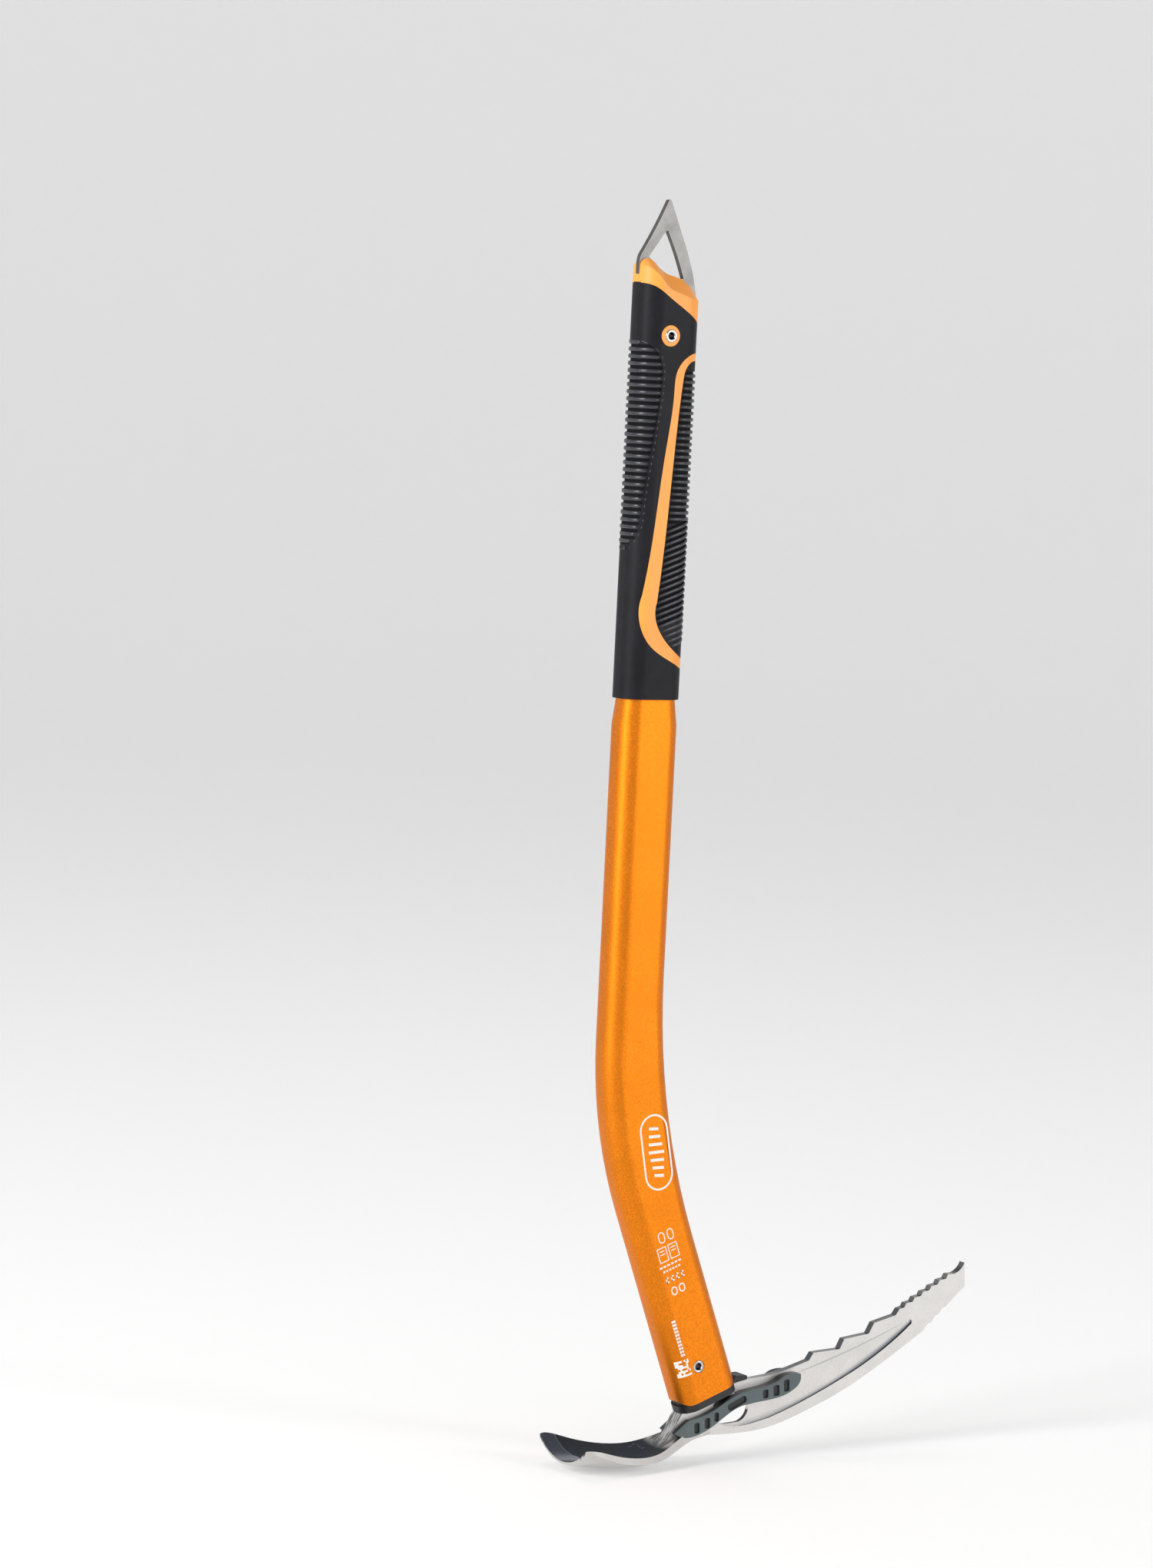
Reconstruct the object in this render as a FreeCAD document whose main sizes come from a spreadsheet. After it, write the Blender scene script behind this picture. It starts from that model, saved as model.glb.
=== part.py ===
"""Mountaineering ice axe, 59 cm class: bent alloy shaft, forged head, moulded grip and plate spike.

Heights in the sketches are counted from the crown of the head, up the straight axis of the grip.
Every body is then lowered by eye_height, so the part's origin lies on that axis, in the middle of
the clip-in eye of the spike.  +Z runs up the grip to the spike, +X points the way the pick points.
"""
import FreeCAD
import Part
import Sketcher
import math
import os
from FreeCAD import Placement, Rotation, Vector

os.makedirs("parts", exist_ok=True)
doc = FreeCAD.newDocument("ice_axe")

# Driving dimensions in millimetres and degrees.
DIMENSIONS = {
    "eye_height": 562.0,          # middle of the spike's eye above the crown of the head
    "tube_width": 31.0,           # shaft across its long side
    "tube_depth": 20.0,           # shaft across its flats
    "tube_round": 8.5,            # edge radius of the shaft
    "tube_wall": 1.3,
    "tube_top": 531.0,
    "bend_height": 156.0,         # where the two straight axes meet
    "bend_angle": 21.0,
    "bend_back_radius": 230.0,    # edge on the adze side
    "bend_front_radius": 340.0,   # edge on the pick side
    "lower_width": 32.4,          # shaft below the bend
    "lower_length": 143.0,        # bend point to the mouth of the tube
    "mouth_round": 5.0,
    "taper_foot": 343.0,          # the tube is swaged narrower from here up
    "neck_foot": 358.0,
    "neck_width": 27.6,
    "neck_depth": 17.2,
    "neck_round": 7.4,
    "grip_foot": 355.5,
    "grip_top": 552.0,
    "grip_width": 31.6,
    "grip_depth": 21.6,
    "grip_round": 9.6,
    "core_width": 29.2,
    "core_depth": 18.8,
    "core_round": 8.2,
    "groove_depth": 0.7,
    "groove_width": 1.3,
    "front_rib_pitch": 3.3,
    "front_rib_count": 31,
    "front_rib_foot": 423.5,
    "panel_rib_pitch": 2.9,
    "panel_rib_count": 25,
    "panel_rib_foot": 438.0,
    "slant_rib_count": 16,
    "slant_rib_angle": 20.0,
    "slant_rib_foot": 388.0,
    "cap_ridge_depth": 5.6,       # cap across the plate of the spike, at its crest
    "spike_thickness": 3.2,
    "spike_tip": 588.0,
    "tang_half": 9.0,
    "plug_foot": 498.0,
    "pick_thickness": 4.2,
    "recess_depth": 0.9,
    "hub_thickness": 8.4,
    "tang_length": 46.0,          # of the head, inside the tube
    "shoulder_back": 15.4,        # of the hub under the insert, towards the adze
    "shoulder_front": 14.6,       # and towards the pick
    "lip_height": 3.5,            # of the head insert, below the mouth of the tube
    "lip_inset": 0.3,             # of that lip, inside the outline of the tube
    "trim_base_depth": 6.4,       # middle of the head to the outside of the black base
    "trim_face_thickness": 1.1,
    "rivet_bore": 1.6,
    "rivet_shank": 2.3,
    "rivet_flange": 3.1,
    "rivet_head_height": 0.6,
    "seat_radius": 5.0,
    "seat_rise": 0.3,             # of the rivet seats above the grip
    "head_rivet_down": 126.0,     # from the bend point, down the lower axis
    "head_rivet_back": 3.0,       # towards the adze
    "spike_rivet_back": 2.5,
    "spike_rivet_height": 525.0,
}

sheet = doc.addObject("Spreadsheet::Sheet", "dims")
for row, (alias, number) in enumerate(DIMENSIONS.items(), start=1):
    sheet.set("A%d" % row, alias.replace("_", " "))
    sheet.set("B%d" % row, str(number))
    sheet.setAlias("B%d" % row, alias)
doc.recompute()


def size(alias):
    """Value of a driving dimension."""
    return float(sheet.get(alias))


BEYOND = 30.0                     # across the flats, well outside every piece


# ---------------------------------------------------------------- helpers

def new_body(name, height="-dims.eye_height"):
    """A body whose local zero height is the crown of the head."""
    body = doc.addObject("PartDesign::Body", name)
    body.Label = name
    body.setExpression("Placement.Base.z", height)
    return body


def new_sketch(body, name, role, offset=0.0):
    """A sketch on one of the body's own origin planes, shifted along the plane's normal."""
    sketch = body.newObject("Sketcher::SketchObject", name)
    plane = [item for item in body.Origin.OriginFeatures if item.Role == role][0]
    sketch.AttachmentSupport = [(plane, "")]
    sketch.MapMode = "FlatFace"
    sketch.AttachmentOffset = Placement(Vector(0, 0, offset), Rotation())
    return sketch


def arc(middle, end):
    return ("arc", middle, end)


def curve(*points):
    return ("curve", points)


def draw(sketch, steps):
    """Closes a contour: a start point, then straight, arc and curve steps back to the start."""
    here = steps[0]
    for step in list(steps[1:]) + [steps[0]]:
        if step[0] == "arc":
            sketch.addGeometry(Part.Arc(Vector(*here), Vector(*step[1]), Vector(*step[2])))
            here = step[2]
        elif step[0] == "curve":
            spline = Part.BSplineCurve()
            spline.interpolate([Vector(*here)] + [Vector(*point) for point in step[1]])
            sketch.addGeometry(spline)
            here = step[1][-1]
        elif math.dist(here, step) > 1e-6:
            sketch.addGeometry(Part.LineSegment(Vector(*here), Vector(*step)))
            here = step


def rounded_rectangle(width, depth, radius):
    """Contour of the shaft's kind of section, about the middle."""
    across = width / 2.0
    deep = depth / 2.0
    bulge = radius * (1.0 - math.sqrt(0.5))
    return [
        (-across + radius, -deep),
        (across - radius, -deep),
        arc((across - bulge, -deep + bulge), (across, -deep + radius)),
        (across, deep - radius),
        arc((across - bulge, deep - bulge), (across - radius, deep)),
        (-across + radius, deep),
        arc((-across + bulge, deep - bulge), (-across, deep - radius)),
        (-across, -deep + radius),
        arc((-across + bulge, -deep + bulge), (-across + radius, -deep)),
    ]


def pad(body, name, sketch, length, symmetric=False, backwards=False):
    feature = body.newObject("PartDesign::Pad", name)
    feature.Profile = sketch
    feature.setExpression("Length", length)
    if symmetric:
        feature.SideType = "Symmetric"
    feature.Reversed = backwards
    return feature


def pocket(body, name, sketch, length, symmetric=False, backwards=False):
    """Cuts a sketch out of the body and proves that it took material away."""
    doc.recompute()
    before = body.Shape.Volume
    feature = body.newObject("PartDesign::Pocket", name)
    feature.Profile = sketch
    feature.setExpression("Length", length)
    if symmetric:
        feature.SideType = "Symmetric"
    feature.Reversed = backwards
    doc.recompute()
    if feature.Shape.Volume > before - 0.5:
        raise RuntimeError(name + " cut nothing")
    return feature


def column(name, width, depth, radius, foot, top):
    """Upright bar with the shaft's kind of section; the arguments are dimension names."""
    body = new_body(name)
    sketch = new_sketch(body, name + "_section", "XY_Plane")
    sketch.setExpression("AttachmentOffset.Base.z", "dims." + foot)
    draw(sketch, rounded_rectangle(size(width), size(depth), size(radius)))
    pad(body, name + "_length", sketch, "dims.%s - dims.%s" % (top, foot))
    return body


def prism(name, steps, length="60 mm"):
    """Contour in the plane of the head, pushed out the same way to both sides."""
    body = new_body(name)
    sketch = new_sketch(body, name + "_contour", "XZ_Plane")
    draw(sketch, steps)
    pad(body, name + "_depth", sketch, length, symmetric=True)
    return body


def combined(kind, name, shapes):
    feature = doc.addObject(kind, name)
    feature.Label = name
    feature.Shapes = shapes
    return feature


def fused(name, shapes):
    return combined("Part::MultiFuse", name, shapes)


def common(name, shapes):
    return combined("Part::MultiCommon", name, shapes)


def minus(name, base, tools):
    """The base without the tools."""
    feature = doc.addObject("Part::Cut", name)
    feature.Label = name
    feature.Base = base
    feature.Tool = tools[0] if len(tools) == 1 else fused(name + "_tools", tools)
    return feature


def along_y(name, radius, x, height, start=BEYOND, length=2 * BEYOND):
    """Cylinder across the shaft, running left from start; it goes through anything unless it is cut short."""
    rod = doc.addObject("Part::Cylinder", name)
    rod.setExpression("Radius", radius)
    rod.Height = length
    rod.Placement = Placement(Vector(0, start, 0), Rotation(Vector(1, 0, 0), 90))
    rod.setExpression("Placement.Base.x", x)
    rod.setExpression("Placement.Base.z", height + " - dims.eye_height")
    return rod


# ---------------------------------------------------------------- lower axis of the shaft

BEND = math.radians(size("bend_angle"))


def lower(down, side):
    """Point beside the lower axis: distance down from the bend point, distance towards the pick."""
    return (
        down * math.sin(BEND) + side * math.cos(BEND),
        size("bend_height") - down * math.cos(BEND) + side * math.sin(BEND),
    )


def bent_edge(half_above, half_below, radius, side):
    """Start, middle and end of the arc in one edge of the bent tube; side is -1 or 1."""
    along = (half_above - half_below * math.cos(BEND)) * side / math.sin(BEND)
    corner = lower(along, side * half_below)
    tangent = radius * math.tan(BEND / 2.0)
    start = (corner[0], corner[1] + tangent)
    middle = (start[0] + radius * (1 - math.cos(BEND / 2)), start[1] - radius * math.sin(BEND / 2))
    end = (start[0] + radius * (1 - math.cos(BEND)), start[1] - radius * math.sin(BEND))
    return start, middle, end


def bent_side(inset, top, overshoot=0.0):
    """Side contour of the bent tube, drawn in by inset all along."""
    above = size("tube_width") / 2.0 - inset
    below = size("lower_width") / 2.0 - inset
    back = bent_edge(above, below, size("bend_back_radius") - inset, -1)
    front = bent_edge(above, below, size("bend_front_radius") + inset, 1)
    mouth = size("lower_length") + overshoot
    return [
        (-above, top),
        back[0],
        arc(back[1], back[2]),
        lower(mouth, -below),
        lower(mouth, below),
        front[2],
        arc(front[1], front[0]),
        (above, top),
    ]


def lengthwise_edges(feature, half_depth):
    """Edges on the flats that run along the tube, not across its two ends."""
    names = []
    for number, edge in enumerate(feature.Shape.Edges, start=1):
        points = edge.discretize(5)
        on_flat = all(abs(abs(point.y) - half_depth) < 1e-3 for point in points)
        if on_flat and not crosses_axis(points):
            names.append("Edge%d" % number)
    return names


def crosses_axis(points):
    """True for an edge that goes from one narrow side of the tube to the other."""
    return math.dist((points[0].x, points[0].z), (points[-1].x, points[-1].z)) < 34.0 and (
        max(edge_side(point) for point in points) > 0 > min(edge_side(point) for point in points)
    )


def edge_side(point):
    """Distance of a point from the shaft's centre line, positive towards the pick."""
    lower_side = point.x * math.cos(BEND) + (point.z - size("bend_height")) * math.sin(BEND)
    return point.x if point.z > size("bend_height") else lower_side


def bent_bar(name, inset, overshoot=0.0):
    """Solid bar with the tube's bent shape, its swaged taper and its neck, inset all round."""
    body = new_body(name)
    flats = "dims.tube_depth - %g" % (2 * inset)
    side = new_sketch(body, name + "_side", "XZ_Plane")
    draw(side, bent_side(inset, size("taper_foot"), overshoot))
    bend = pad(body, name + "_bend", side, flats, symmetric=True)
    doc.recompute()
    rounding = body.newObject("PartDesign::Fillet", name + "_rounding")
    rounding.Base = (bend, lengthwise_edges(bend, size("tube_depth") / 2.0 - inset))
    rounding.setExpression("Radius", "dims.tube_round - %g" % inset)
    wide = new_sketch(body, name + "_wide", "XY_Plane")
    wide.setExpression("AttachmentOffset.Base.z", "dims.taper_foot")
    draw(wide, inset_section("tube", inset))
    slim = new_sketch(body, name + "_slim", "XY_Plane")
    slim.setExpression("AttachmentOffset.Base.z", "dims.neck_foot")
    draw(slim, inset_section("neck", inset))
    taper = body.newObject("PartDesign::AdditiveLoft", name + "_taper")
    taper.Profile = wide
    taper.Sections = [slim]
    neck = new_sketch(body, name + "_neck_section", "XY_Plane")
    neck.setExpression("AttachmentOffset.Base.z", "dims.neck_foot")
    draw(neck, inset_section("neck", inset))
    pad(body, name + "_neck", neck, "dims.tube_top - dims.neck_foot + %g" % overshoot)
    return body


def inset_section(kind, inset):
    return rounded_rectangle(
        size(kind + "_width") - 2 * inset,
        size(kind + "_depth") - 2 * inset,
        size(kind + "_round") - inset,
    )


# ---------------------------------------------------------------- rivets and their seats

def turned(name, steps, x, height):
    """A round piece whose axis runs across the shaft."""
    body = new_body(name, height + " - dims.eye_height")
    body.setExpression("Placement.Base.x", x)
    sketch = new_sketch(body, name + "_half_section", "XY_Plane")
    draw(sketch, steps)
    turn = body.newObject("PartDesign::Revolution", name + "_turn")
    turn.Profile = sketch
    turn.ReferenceAxis = (sketch, ["V_Axis"])
    turn.Angle = 360.0
    return body


def tubular_rivet(name, half_grip, x, height):
    """Hollow rivet with a rolled flange at each end, clamping 2 * half_grip."""
    bore = size("rivet_bore")
    shank = size("rivet_shank")
    flange = size("rivet_flange")
    crown = half_grip + size("rivet_head_height")
    rim = (flange + bore) / 2.0
    steps = [
        (bore, -half_grip),
        arc((bore + 0.2, -crown + 0.2), (rim, -crown)),
        arc((flange - 0.2, -crown + 0.2), (flange, -half_grip)),
        (shank, -half_grip),
        (shank, half_grip),
        (flange, half_grip),
        arc((flange - 0.2, crown - 0.2), (rim, crown)),
        arc((bore + 0.2, crown - 0.2), (bore, half_grip)),
    ]
    return turned(name, steps, x, height)


HEAD_RIVET = lower(size("head_rivet_down"), -size("head_rivet_back"))
HEAD_RIVET_X = (
    "dims.head_rivet_down * sin(dims.bend_angle * 1 deg)"
    " - dims.head_rivet_back * cos(dims.bend_angle * 1 deg)"
)
HEAD_RIVET_HEIGHT = (
    "dims.bend_height - dims.head_rivet_down * cos(dims.bend_angle * 1 deg)"
    " - dims.head_rivet_back * sin(dims.bend_angle * 1 deg)"
)
SPIKE_RIVET_X = "-dims.spike_rivet_back"
SPIKE_RIVET_HEIGHT = "dims.spike_rivet_height"

seat_face = size("grip_depth") / 2.0 + size("seat_rise")
head_seat = size("tube_depth") / 2.0 - size("rivet_head_height")
head_rivet = tubular_rivet("head_rivet", head_seat, HEAD_RIVET_X, HEAD_RIVET_HEIGHT)
spike_rivet = tubular_rivet("spike_rivet", seat_face, SPIKE_RIVET_X, SPIKE_RIVET_HEIGHT)
head_rivet_hole = along_y("head_rivet_hole", "dims.rivet_shank", HEAD_RIVET_X, HEAD_RIVET_HEIGHT)
head_rivet_sinks = [
    along_y(
        "head_rivet_sink_" + hand, "dims.rivet_flange", HEAD_RIVET_X, HEAD_RIVET_HEIGHT,
        start, BEYOND - head_seat)
    for hand, start in (("left", -head_seat), ("right", BEYOND))
]
spike_rivet_hole = along_y("spike_rivet_hole", "dims.rivet_shank", SPIKE_RIVET_X, SPIKE_RIVET_HEIGHT)
seat_hole = along_y("seat_hole", "dims.seat_radius", SPIKE_RIVET_X, SPIKE_RIVET_HEIGHT)


def rivet_seat(name, side):
    """Washer with a rounded rim, from the tube's flat to just above the grip; side is -1 or 1."""
    shank = size("rivet_shank")
    rim = size("seat_radius")
    inner = side * size("neck_depth") / 2.0
    outer = side * seat_face
    shoulder = side * (seat_face - 0.6)
    steps = [
        (shank, inner),
        (rim, inner),
        (rim, shoulder),
        arc((rim - 0.18, outer - side * 0.18), (rim - 0.6, outer)),
        (shank, outer),
    ]
    return turned(name, steps, SPIKE_RIVET_X, SPIKE_RIVET_HEIGHT)


rivet_seats = [rivet_seat("rivet_seat_left", -1), rivet_seat("rivet_seat_right", 1)]

# ---------------------------------------------------------------- shaft

shaft_bar = bent_bar("shaft_bar", 0.0)
shaft_bore = bent_bar("shaft_bore", size("tube_wall"), overshoot=4.0)


def mouth_corner(side):
    """Waste outside the rounded corner of the tube's mouth, seen from the side."""
    half = size("lower_width") / 2.0
    mouth = size("lower_length")
    radius = size("mouth_round")
    bulge = radius * (1.0 - math.sqrt(0.5))
    return [
        lower(mouth - radius, side * (half + 1)),
        lower(mouth - radius, side * half),
        arc(lower(mouth - bulge, side * (half - bulge)), lower(mouth, side * (half - radius))),
        lower(mouth + 1, side * (half - radius)),
        lower(mouth + 1, side * (half + 1)),
    ]


mouth_corners = [prism("mouth_corner_back", mouth_corner(-1)), prism("mouth_corner_front", mouth_corner(1))]
shaft_solid = minus("shaft_solid", shaft_bar, mouth_corners)
shaft_tube = minus(
    "shaft_tube", shaft_solid, [shaft_bore, head_rivet_hole, spike_rivet_hole] + head_rivet_sinks)

# ---------------------------------------------------------------- head, one forging

BIG_TEETH = [
    ((127.8, 39.5), (130.2, 44.3)),
    ((144.4, 46.2), (147.2, 51.3)),
    ((159.7, 54.5), (161.7, 57.4)),
]
FINE_TOOTH_COUNT = 6
SPINE_NOTCH_COUNT = 3


def pick_contour():
    """Pick in side view: crown, notched spine, front edge, tip, then the teeth back to the shaft."""
    steps = [
        (50.0, 2.2),
        curve((71.6, 1.9), (89.0, 3.8), (106.4, 9.1), (132.5, 20.0), (154.0, 32.0), (176.4, 46.0)),
    ]
    for notch in range(SPINE_NOTCH_COUNT):
        x = 176.4 + 4.1 * notch
        height = 46.0 + 3.7 * notch
        steps += [(x + 2.7, height + 3.4), (x + 4.1, height + 3.7)]
    steps += [
        (199.7, 66.9),
        (198.8, 78.6),
        curve((196.6, 75.3), (192.8, 73.2)),
        (190.2, 73.3),
    ]
    for tooth in reversed(range(FINE_TOOTH_COUNT)):
        x = 165.5 + 4.75 * tooth
        height = 60.0 + 2.6 * tooth
        steps += [(x, height), (x - 0.9, height - 1.9)]
    for valley, crest in reversed(BIG_TEETH):
        steps += [crest, valley]
    steps += [
        (112.7, 38.5),
        (110.3, 34.9),
        curve((100.7, 32.0), (89.0, 29.2), (78.9, 28.1), (64.0, 25.8)),
        (50.0, 20.0),
    ]
    return steps


RECESS = [
    (58.6, 8.4),
    curve((61.0, 6.9), (66.0, 5.6), (73.0, 5.3), (80.5, 6.4), (88.8, 8.2)),
    curve((106.0, 14.4), (123.4, 21.9), (136.5, 28.2), (153.8, 38.3), (168.8, 49.6)),
    arc((169.2, 51.2), (167.2, 51.6)),
    curve((153.3, 46.3), (131.3, 38.2), (113.8, 32.6), (98.0, 27.6), (80.0, 23.4), (64.0, 21.6)),
    arc((59.0, 19.6), (58.2, 15.0)),
]

EYE_BACK = (64.5, 13.8)
EYE_FRONT = (69.9, 14.2)
EYE_RADIUS = 7.3


def eye_contour():
    """Oblong clip-in eye of the head."""
    back, front = EYE_BACK, EYE_FRONT
    return [
        (back[0], back[1] - EYE_RADIUS),
        (front[0], front[1] - EYE_RADIUS),
        arc((front[0] + EYE_RADIUS, front[1]), (front[0], front[1] + EYE_RADIUS)),
        (back[0], back[1] + EYE_RADIUS),
        arc((back[0] - EYE_RADIUS, back[1]), (back[0], back[1] - EYE_RADIUS)),
    ]


def hub_contour():
    """Thick middle of the forging with the shoulders under the insert and the tang above them."""
    shoulder = size("lower_length") + size("lip_height")
    tang_end = size("lower_length") - size("tang_length")
    half = size("tang_half")
    return [
        lower(tang_end, -half),
        lower(shoulder, -half),
        lower(shoulder, -size("shoulder_back")),
        curve((34.9, 8.6), (32.4, 4.6), (28.8, 0.4), (24.0, -3.6)),
        (24.0, -5.6),
        curve((36.0, 0.2), (46.0, 3.4), (55.5, 4.2)),
        (55.5, 17.0),
        arc((56.4, 19.0), (58.6, 19.9)),
        lower(shoulder + 3.0, size("shoulder_front")),
        lower(shoulder, size("shoulder_front")),
        lower(shoulder, half),
        lower(tang_end, half),
    ]


# Stations of the adze and of the flange that carries it under the hub:
# x, half width, height of the underside at the middle, thickness, rise of the sides (the scoop).
ADZE_STATIONS = [
    (56.5, 1.9, 2.7, 2.4, 0.3),
    (46.0, 5.0, 0.9, 4.4, 0.4),
    (34.0, 8.6, -3.4, 5.0, 0.8),
    (21.0, 14.0, -8.3, 4.0, 2.0),
    (5.0, 18.6, -10.2, 3.3, 4.1),
    (-10.0, 21.8, -9.4, 3.0, 6.6),
    (-20.0, 23.0, -8.0, 1.9, 9.0),
    (-25.2, 21.4, -7.0, 1.1, 8.8),
]


def adze_section(half, underside, thickness, rise):
    """Shallow scoop seen along the blade: both faces are arcs, the two rims are straight."""
    return [
        (-half, underside + rise),
        arc((0.0, underside), (half, underside + rise)),
        (half, underside + rise + thickness),
        arc((0.0, underside + thickness), (-half, underside + rise + thickness)),
    ]


def build_head():
    body = new_body("head_forging")
    pick = new_sketch(body, "pick_contour", "XZ_Plane")
    draw(pick, pick_contour())
    pad(body, "pick_plate", pick, "dims.pick_thickness", symmetric=True)
    recess = new_sketch(body, "recess_contour", "XZ_Plane")
    recess.setExpression("AttachmentOffset.Base.z", "dims.pick_thickness / 2")
    draw(recess, RECESS)
    web = pocket(body, "recess", recess, "dims.recess_depth")
    both = body.newObject("PartDesign::Mirrored", "recess_both_sides")
    both.Originals = [web]
    both.MirrorPlane = ([item for item in body.Origin.OriginFeatures if item.Role == "XZ_Plane"][0], [""])
    body.Tip = both
    hub = new_sketch(body, "hub_contour", "XZ_Plane")
    draw(hub, hub_contour())
    pad(body, "hub", hub, "dims.hub_thickness", symmetric=True)
    sections = []
    for number, (x, half, underside, thickness, rise) in enumerate(ADZE_STATIONS, start=1):
        section = new_sketch(body, "adze_section_%d" % number, "YZ_Plane", x)
        draw(section, adze_section(half, underside, thickness, rise))
        sections.append(section)
    blade = body.newObject("PartDesign::AdditiveLoft", "adze_blade")
    blade.Profile = sections[0]
    blade.Sections = sections[1:]
    eye = new_sketch(body, "eye_contour", "XZ_Plane")
    draw(eye, eye_contour())
    pocket(body, "clip_in_eye", eye, "60 mm", symmetric=True)
    return body


head = minus("head", build_head(), [head_rivet_hole])

# ---------------------------------------------------------------- insert in the mouth of the tube

def build_insert():
    """Plug round the tang, its lip below the tube and the small nose over the root of the pick."""
    body = new_body("insert_blank")
    mouth = lower(size("lower_length"), 0.0)
    body.Placement = Placement(Vector(mouth[0], 0, 0), Rotation(Vector(0, 1, 0), -size("bend_angle")))
    body.setExpression(
        "Placement.Base.z",
        "dims.bend_height - dims.lower_length * cos(dims.bend_angle * 1 deg) - dims.eye_height",
    )
    wall = size("tube_wall")
    inner = new_sketch(body, "plug_section", "XY_Plane")
    draw(inner, rounded_rectangle(
        size("lower_width") - 2 * wall, size("tube_depth") - 2 * wall, size("tube_round") - wall))
    pad(body, "plug_length", inner, "dims.tang_length - 2")
    outer = new_sketch(body, "lip_section", "XY_Plane")
    inset = size("lip_inset")
    draw(outer, rounded_rectangle(
        size("lower_width") - 2 * inset, size("tube_depth") - 2 * inset, size("tube_round") - inset))
    pad(body, "lip", outer, "dims.lip_height", backwards=True)
    return body


nose = prism("insert_nose", [
    (65.0, 26.2),
    (68.0, 27.2),
    (73.2, 28.2),
    arc((73.6, 29.8), (72.2, 30.4)),
    (67.4, 30.3),
    (65.4, 27.6),
], length="9 mm")
insert_blank = fused("insert_with_nose", [build_insert(), nose])
head_insert = minus("head_insert", insert_blank, [head, head_rivet_hole])

# ---------------------------------------------------------------- trim on both sides of the hub

TRIM_CONTOUR = [
    (32.8, 4.8),
    (40.2, 10.7),
    curve((48.0, 12.6), (55.5, 15.8), (61.5, 19.3), (69.2, 22.3), (76.0, 23.6), (84.2, 25.0), (90.6, 27.2)),
    curve((94.0, 29.3), (98.0, 30.1), (102.4, 29.9)),
    curve((102.6, 27.4), (99.4, 22.9)),
    curve((92.6, 19.7), (84.6, 18.2), (73.8, 16.8)),
    curve((63.1, 13.3), (56.8, 9.2), (48.4, 4.6)),
    curve((42.0, 2.7), (35.5, 3.2), (32.8, 4.8)),
]
# Windows in the face: middle, width, height, corner radius, turn in degrees.
TRIM_WINDOWS = [
    ((44.8, 6.9), 3.2, 5.2, 1.0, 5.0),
    ((50.6, 8.9), 3.2, 5.1, 1.0, 5.0),
    ((55.6, 11.6), 2.7, 4.4, 1.0, 5.0),
    ((66.9, 17.6), 11.4, 3.6, 1.7, 24.0),
    ((82.9, 21.2), 3.3, 4.2, 1.0, 5.0),
    ((89.0, 22.5), 3.6, 5.3, 1.0, 5.0),
    ((94.7, 24.6), 3.4, 5.8, 1.0, 5.0),
]


def turned_point(point, middle, turn):
    """Point of a contour drawn about the origin, turned and moved to its place."""
    return (
        middle[0] + point[0] * math.cos(turn) - point[1] * math.sin(turn),
        middle[1] + point[0] * math.sin(turn) + point[1] * math.cos(turn),
    )


def window_contour(middle, width, height, corner, degrees):
    """Rounded rectangle, turned about its own middle."""
    turn = math.radians(degrees)
    steps = []
    for step in rounded_rectangle(width, height, corner):
        if step[0] == "arc":
            steps.append(arc(turned_point(step[1], middle, turn), turned_point(step[2], middle, turn)))
        else:
            steps.append(turned_point(step, middle, turn))
    return steps


def trim_layer(name, side, inner, outer, windows=()):
    """Layer of the trim between two distances from the middle of the head; side is 1 left, -1 right."""
    body = new_body(name)
    sketch = new_sketch(body, name + "_contour", "XZ_Plane")
    sketch.setExpression("AttachmentOffset.Base.z", "%d * (%s)" % (side, inner))
    draw(sketch, TRIM_CONTOUR)
    pad(body, name + "_thickness", sketch, "%s - (%s)" % (outer, inner), backwards=side < 0)
    if windows:
        outlines = new_sketch(body, name + "_window_outlines", "XZ_Plane")
        for window in windows:
            draw(outlines, window_contour(*window))
        pocket(body, name + "_windows", outlines, "60 mm", symmetric=True)
    return body


trim_pieces = []
for side, hand in ((1, "left"), (-1, "right")):
    blank = trim_layer("trim_blank_" + hand, side, "dims.pick_thickness / 2", "dims.trim_base_depth")
    trim_pieces.append(minus("trim_base_" + hand, blank, [head, head_insert]))
    trim_pieces.append(trim_layer(
        "trim_face_" + hand, side, "dims.trim_base_depth",
        "dims.trim_base_depth + dims.trim_face_thickness", TRIM_WINDOWS))

# ---------------------------------------------------------------- spike, plug and cap

# Top edge of the cap beside the spike (crest) and at its flat sides (brow), from pick side to adze side.
CREST = [
    (15.6, 542.0), (12.6, 547.0), (6.0, 551.6), (-4.3, 555.0), (-9.0, 559.2), (-13.0, 560.2), (-15.6, 557.0),
]
BROW = [
    (15.6, 535.6), (11.6, 540.6), (5.0, 543.8), (-4.6, 547.4), (-9.6, 552.2), (-13.0, 553.6), (-15.6, 551.8),
]
# Joint between cap and grip, from adze side to pick side.
PARTING = [(-20.0, 549.8), (-13.0, 548.4), (-5.0, 543.6), (4.0, 537.8), (20.0, 527.2)]


def spike_contour():
    """Triangular plate with a tang; both flanks are slightly convex."""
    half = size("tang_half")
    tip = size("spike_tip")
    return [
        (-half, size("plug_foot") + 4.0),
        (half, size("plug_foot") + 4.0),
        (half, 533.0),
        (15.9, 541.4),
        (15.9, 543.6),
        curve((13.4, 554.9), (7.9, 569.6), (0.2, tip - 0.3)),
        arc((-0.6, tip), (-1.3, tip - 0.4)),
        curve((-6.2, 577.6), (-14.8, 562.6)),
        arc((-15.7, 560.0), (-15.9, 556.6)),
        (-15.9, 553.2),
        (-14.4, 551.6),
        (-14.4, 546.0),
        (-half, 538.0),
    ]


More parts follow.
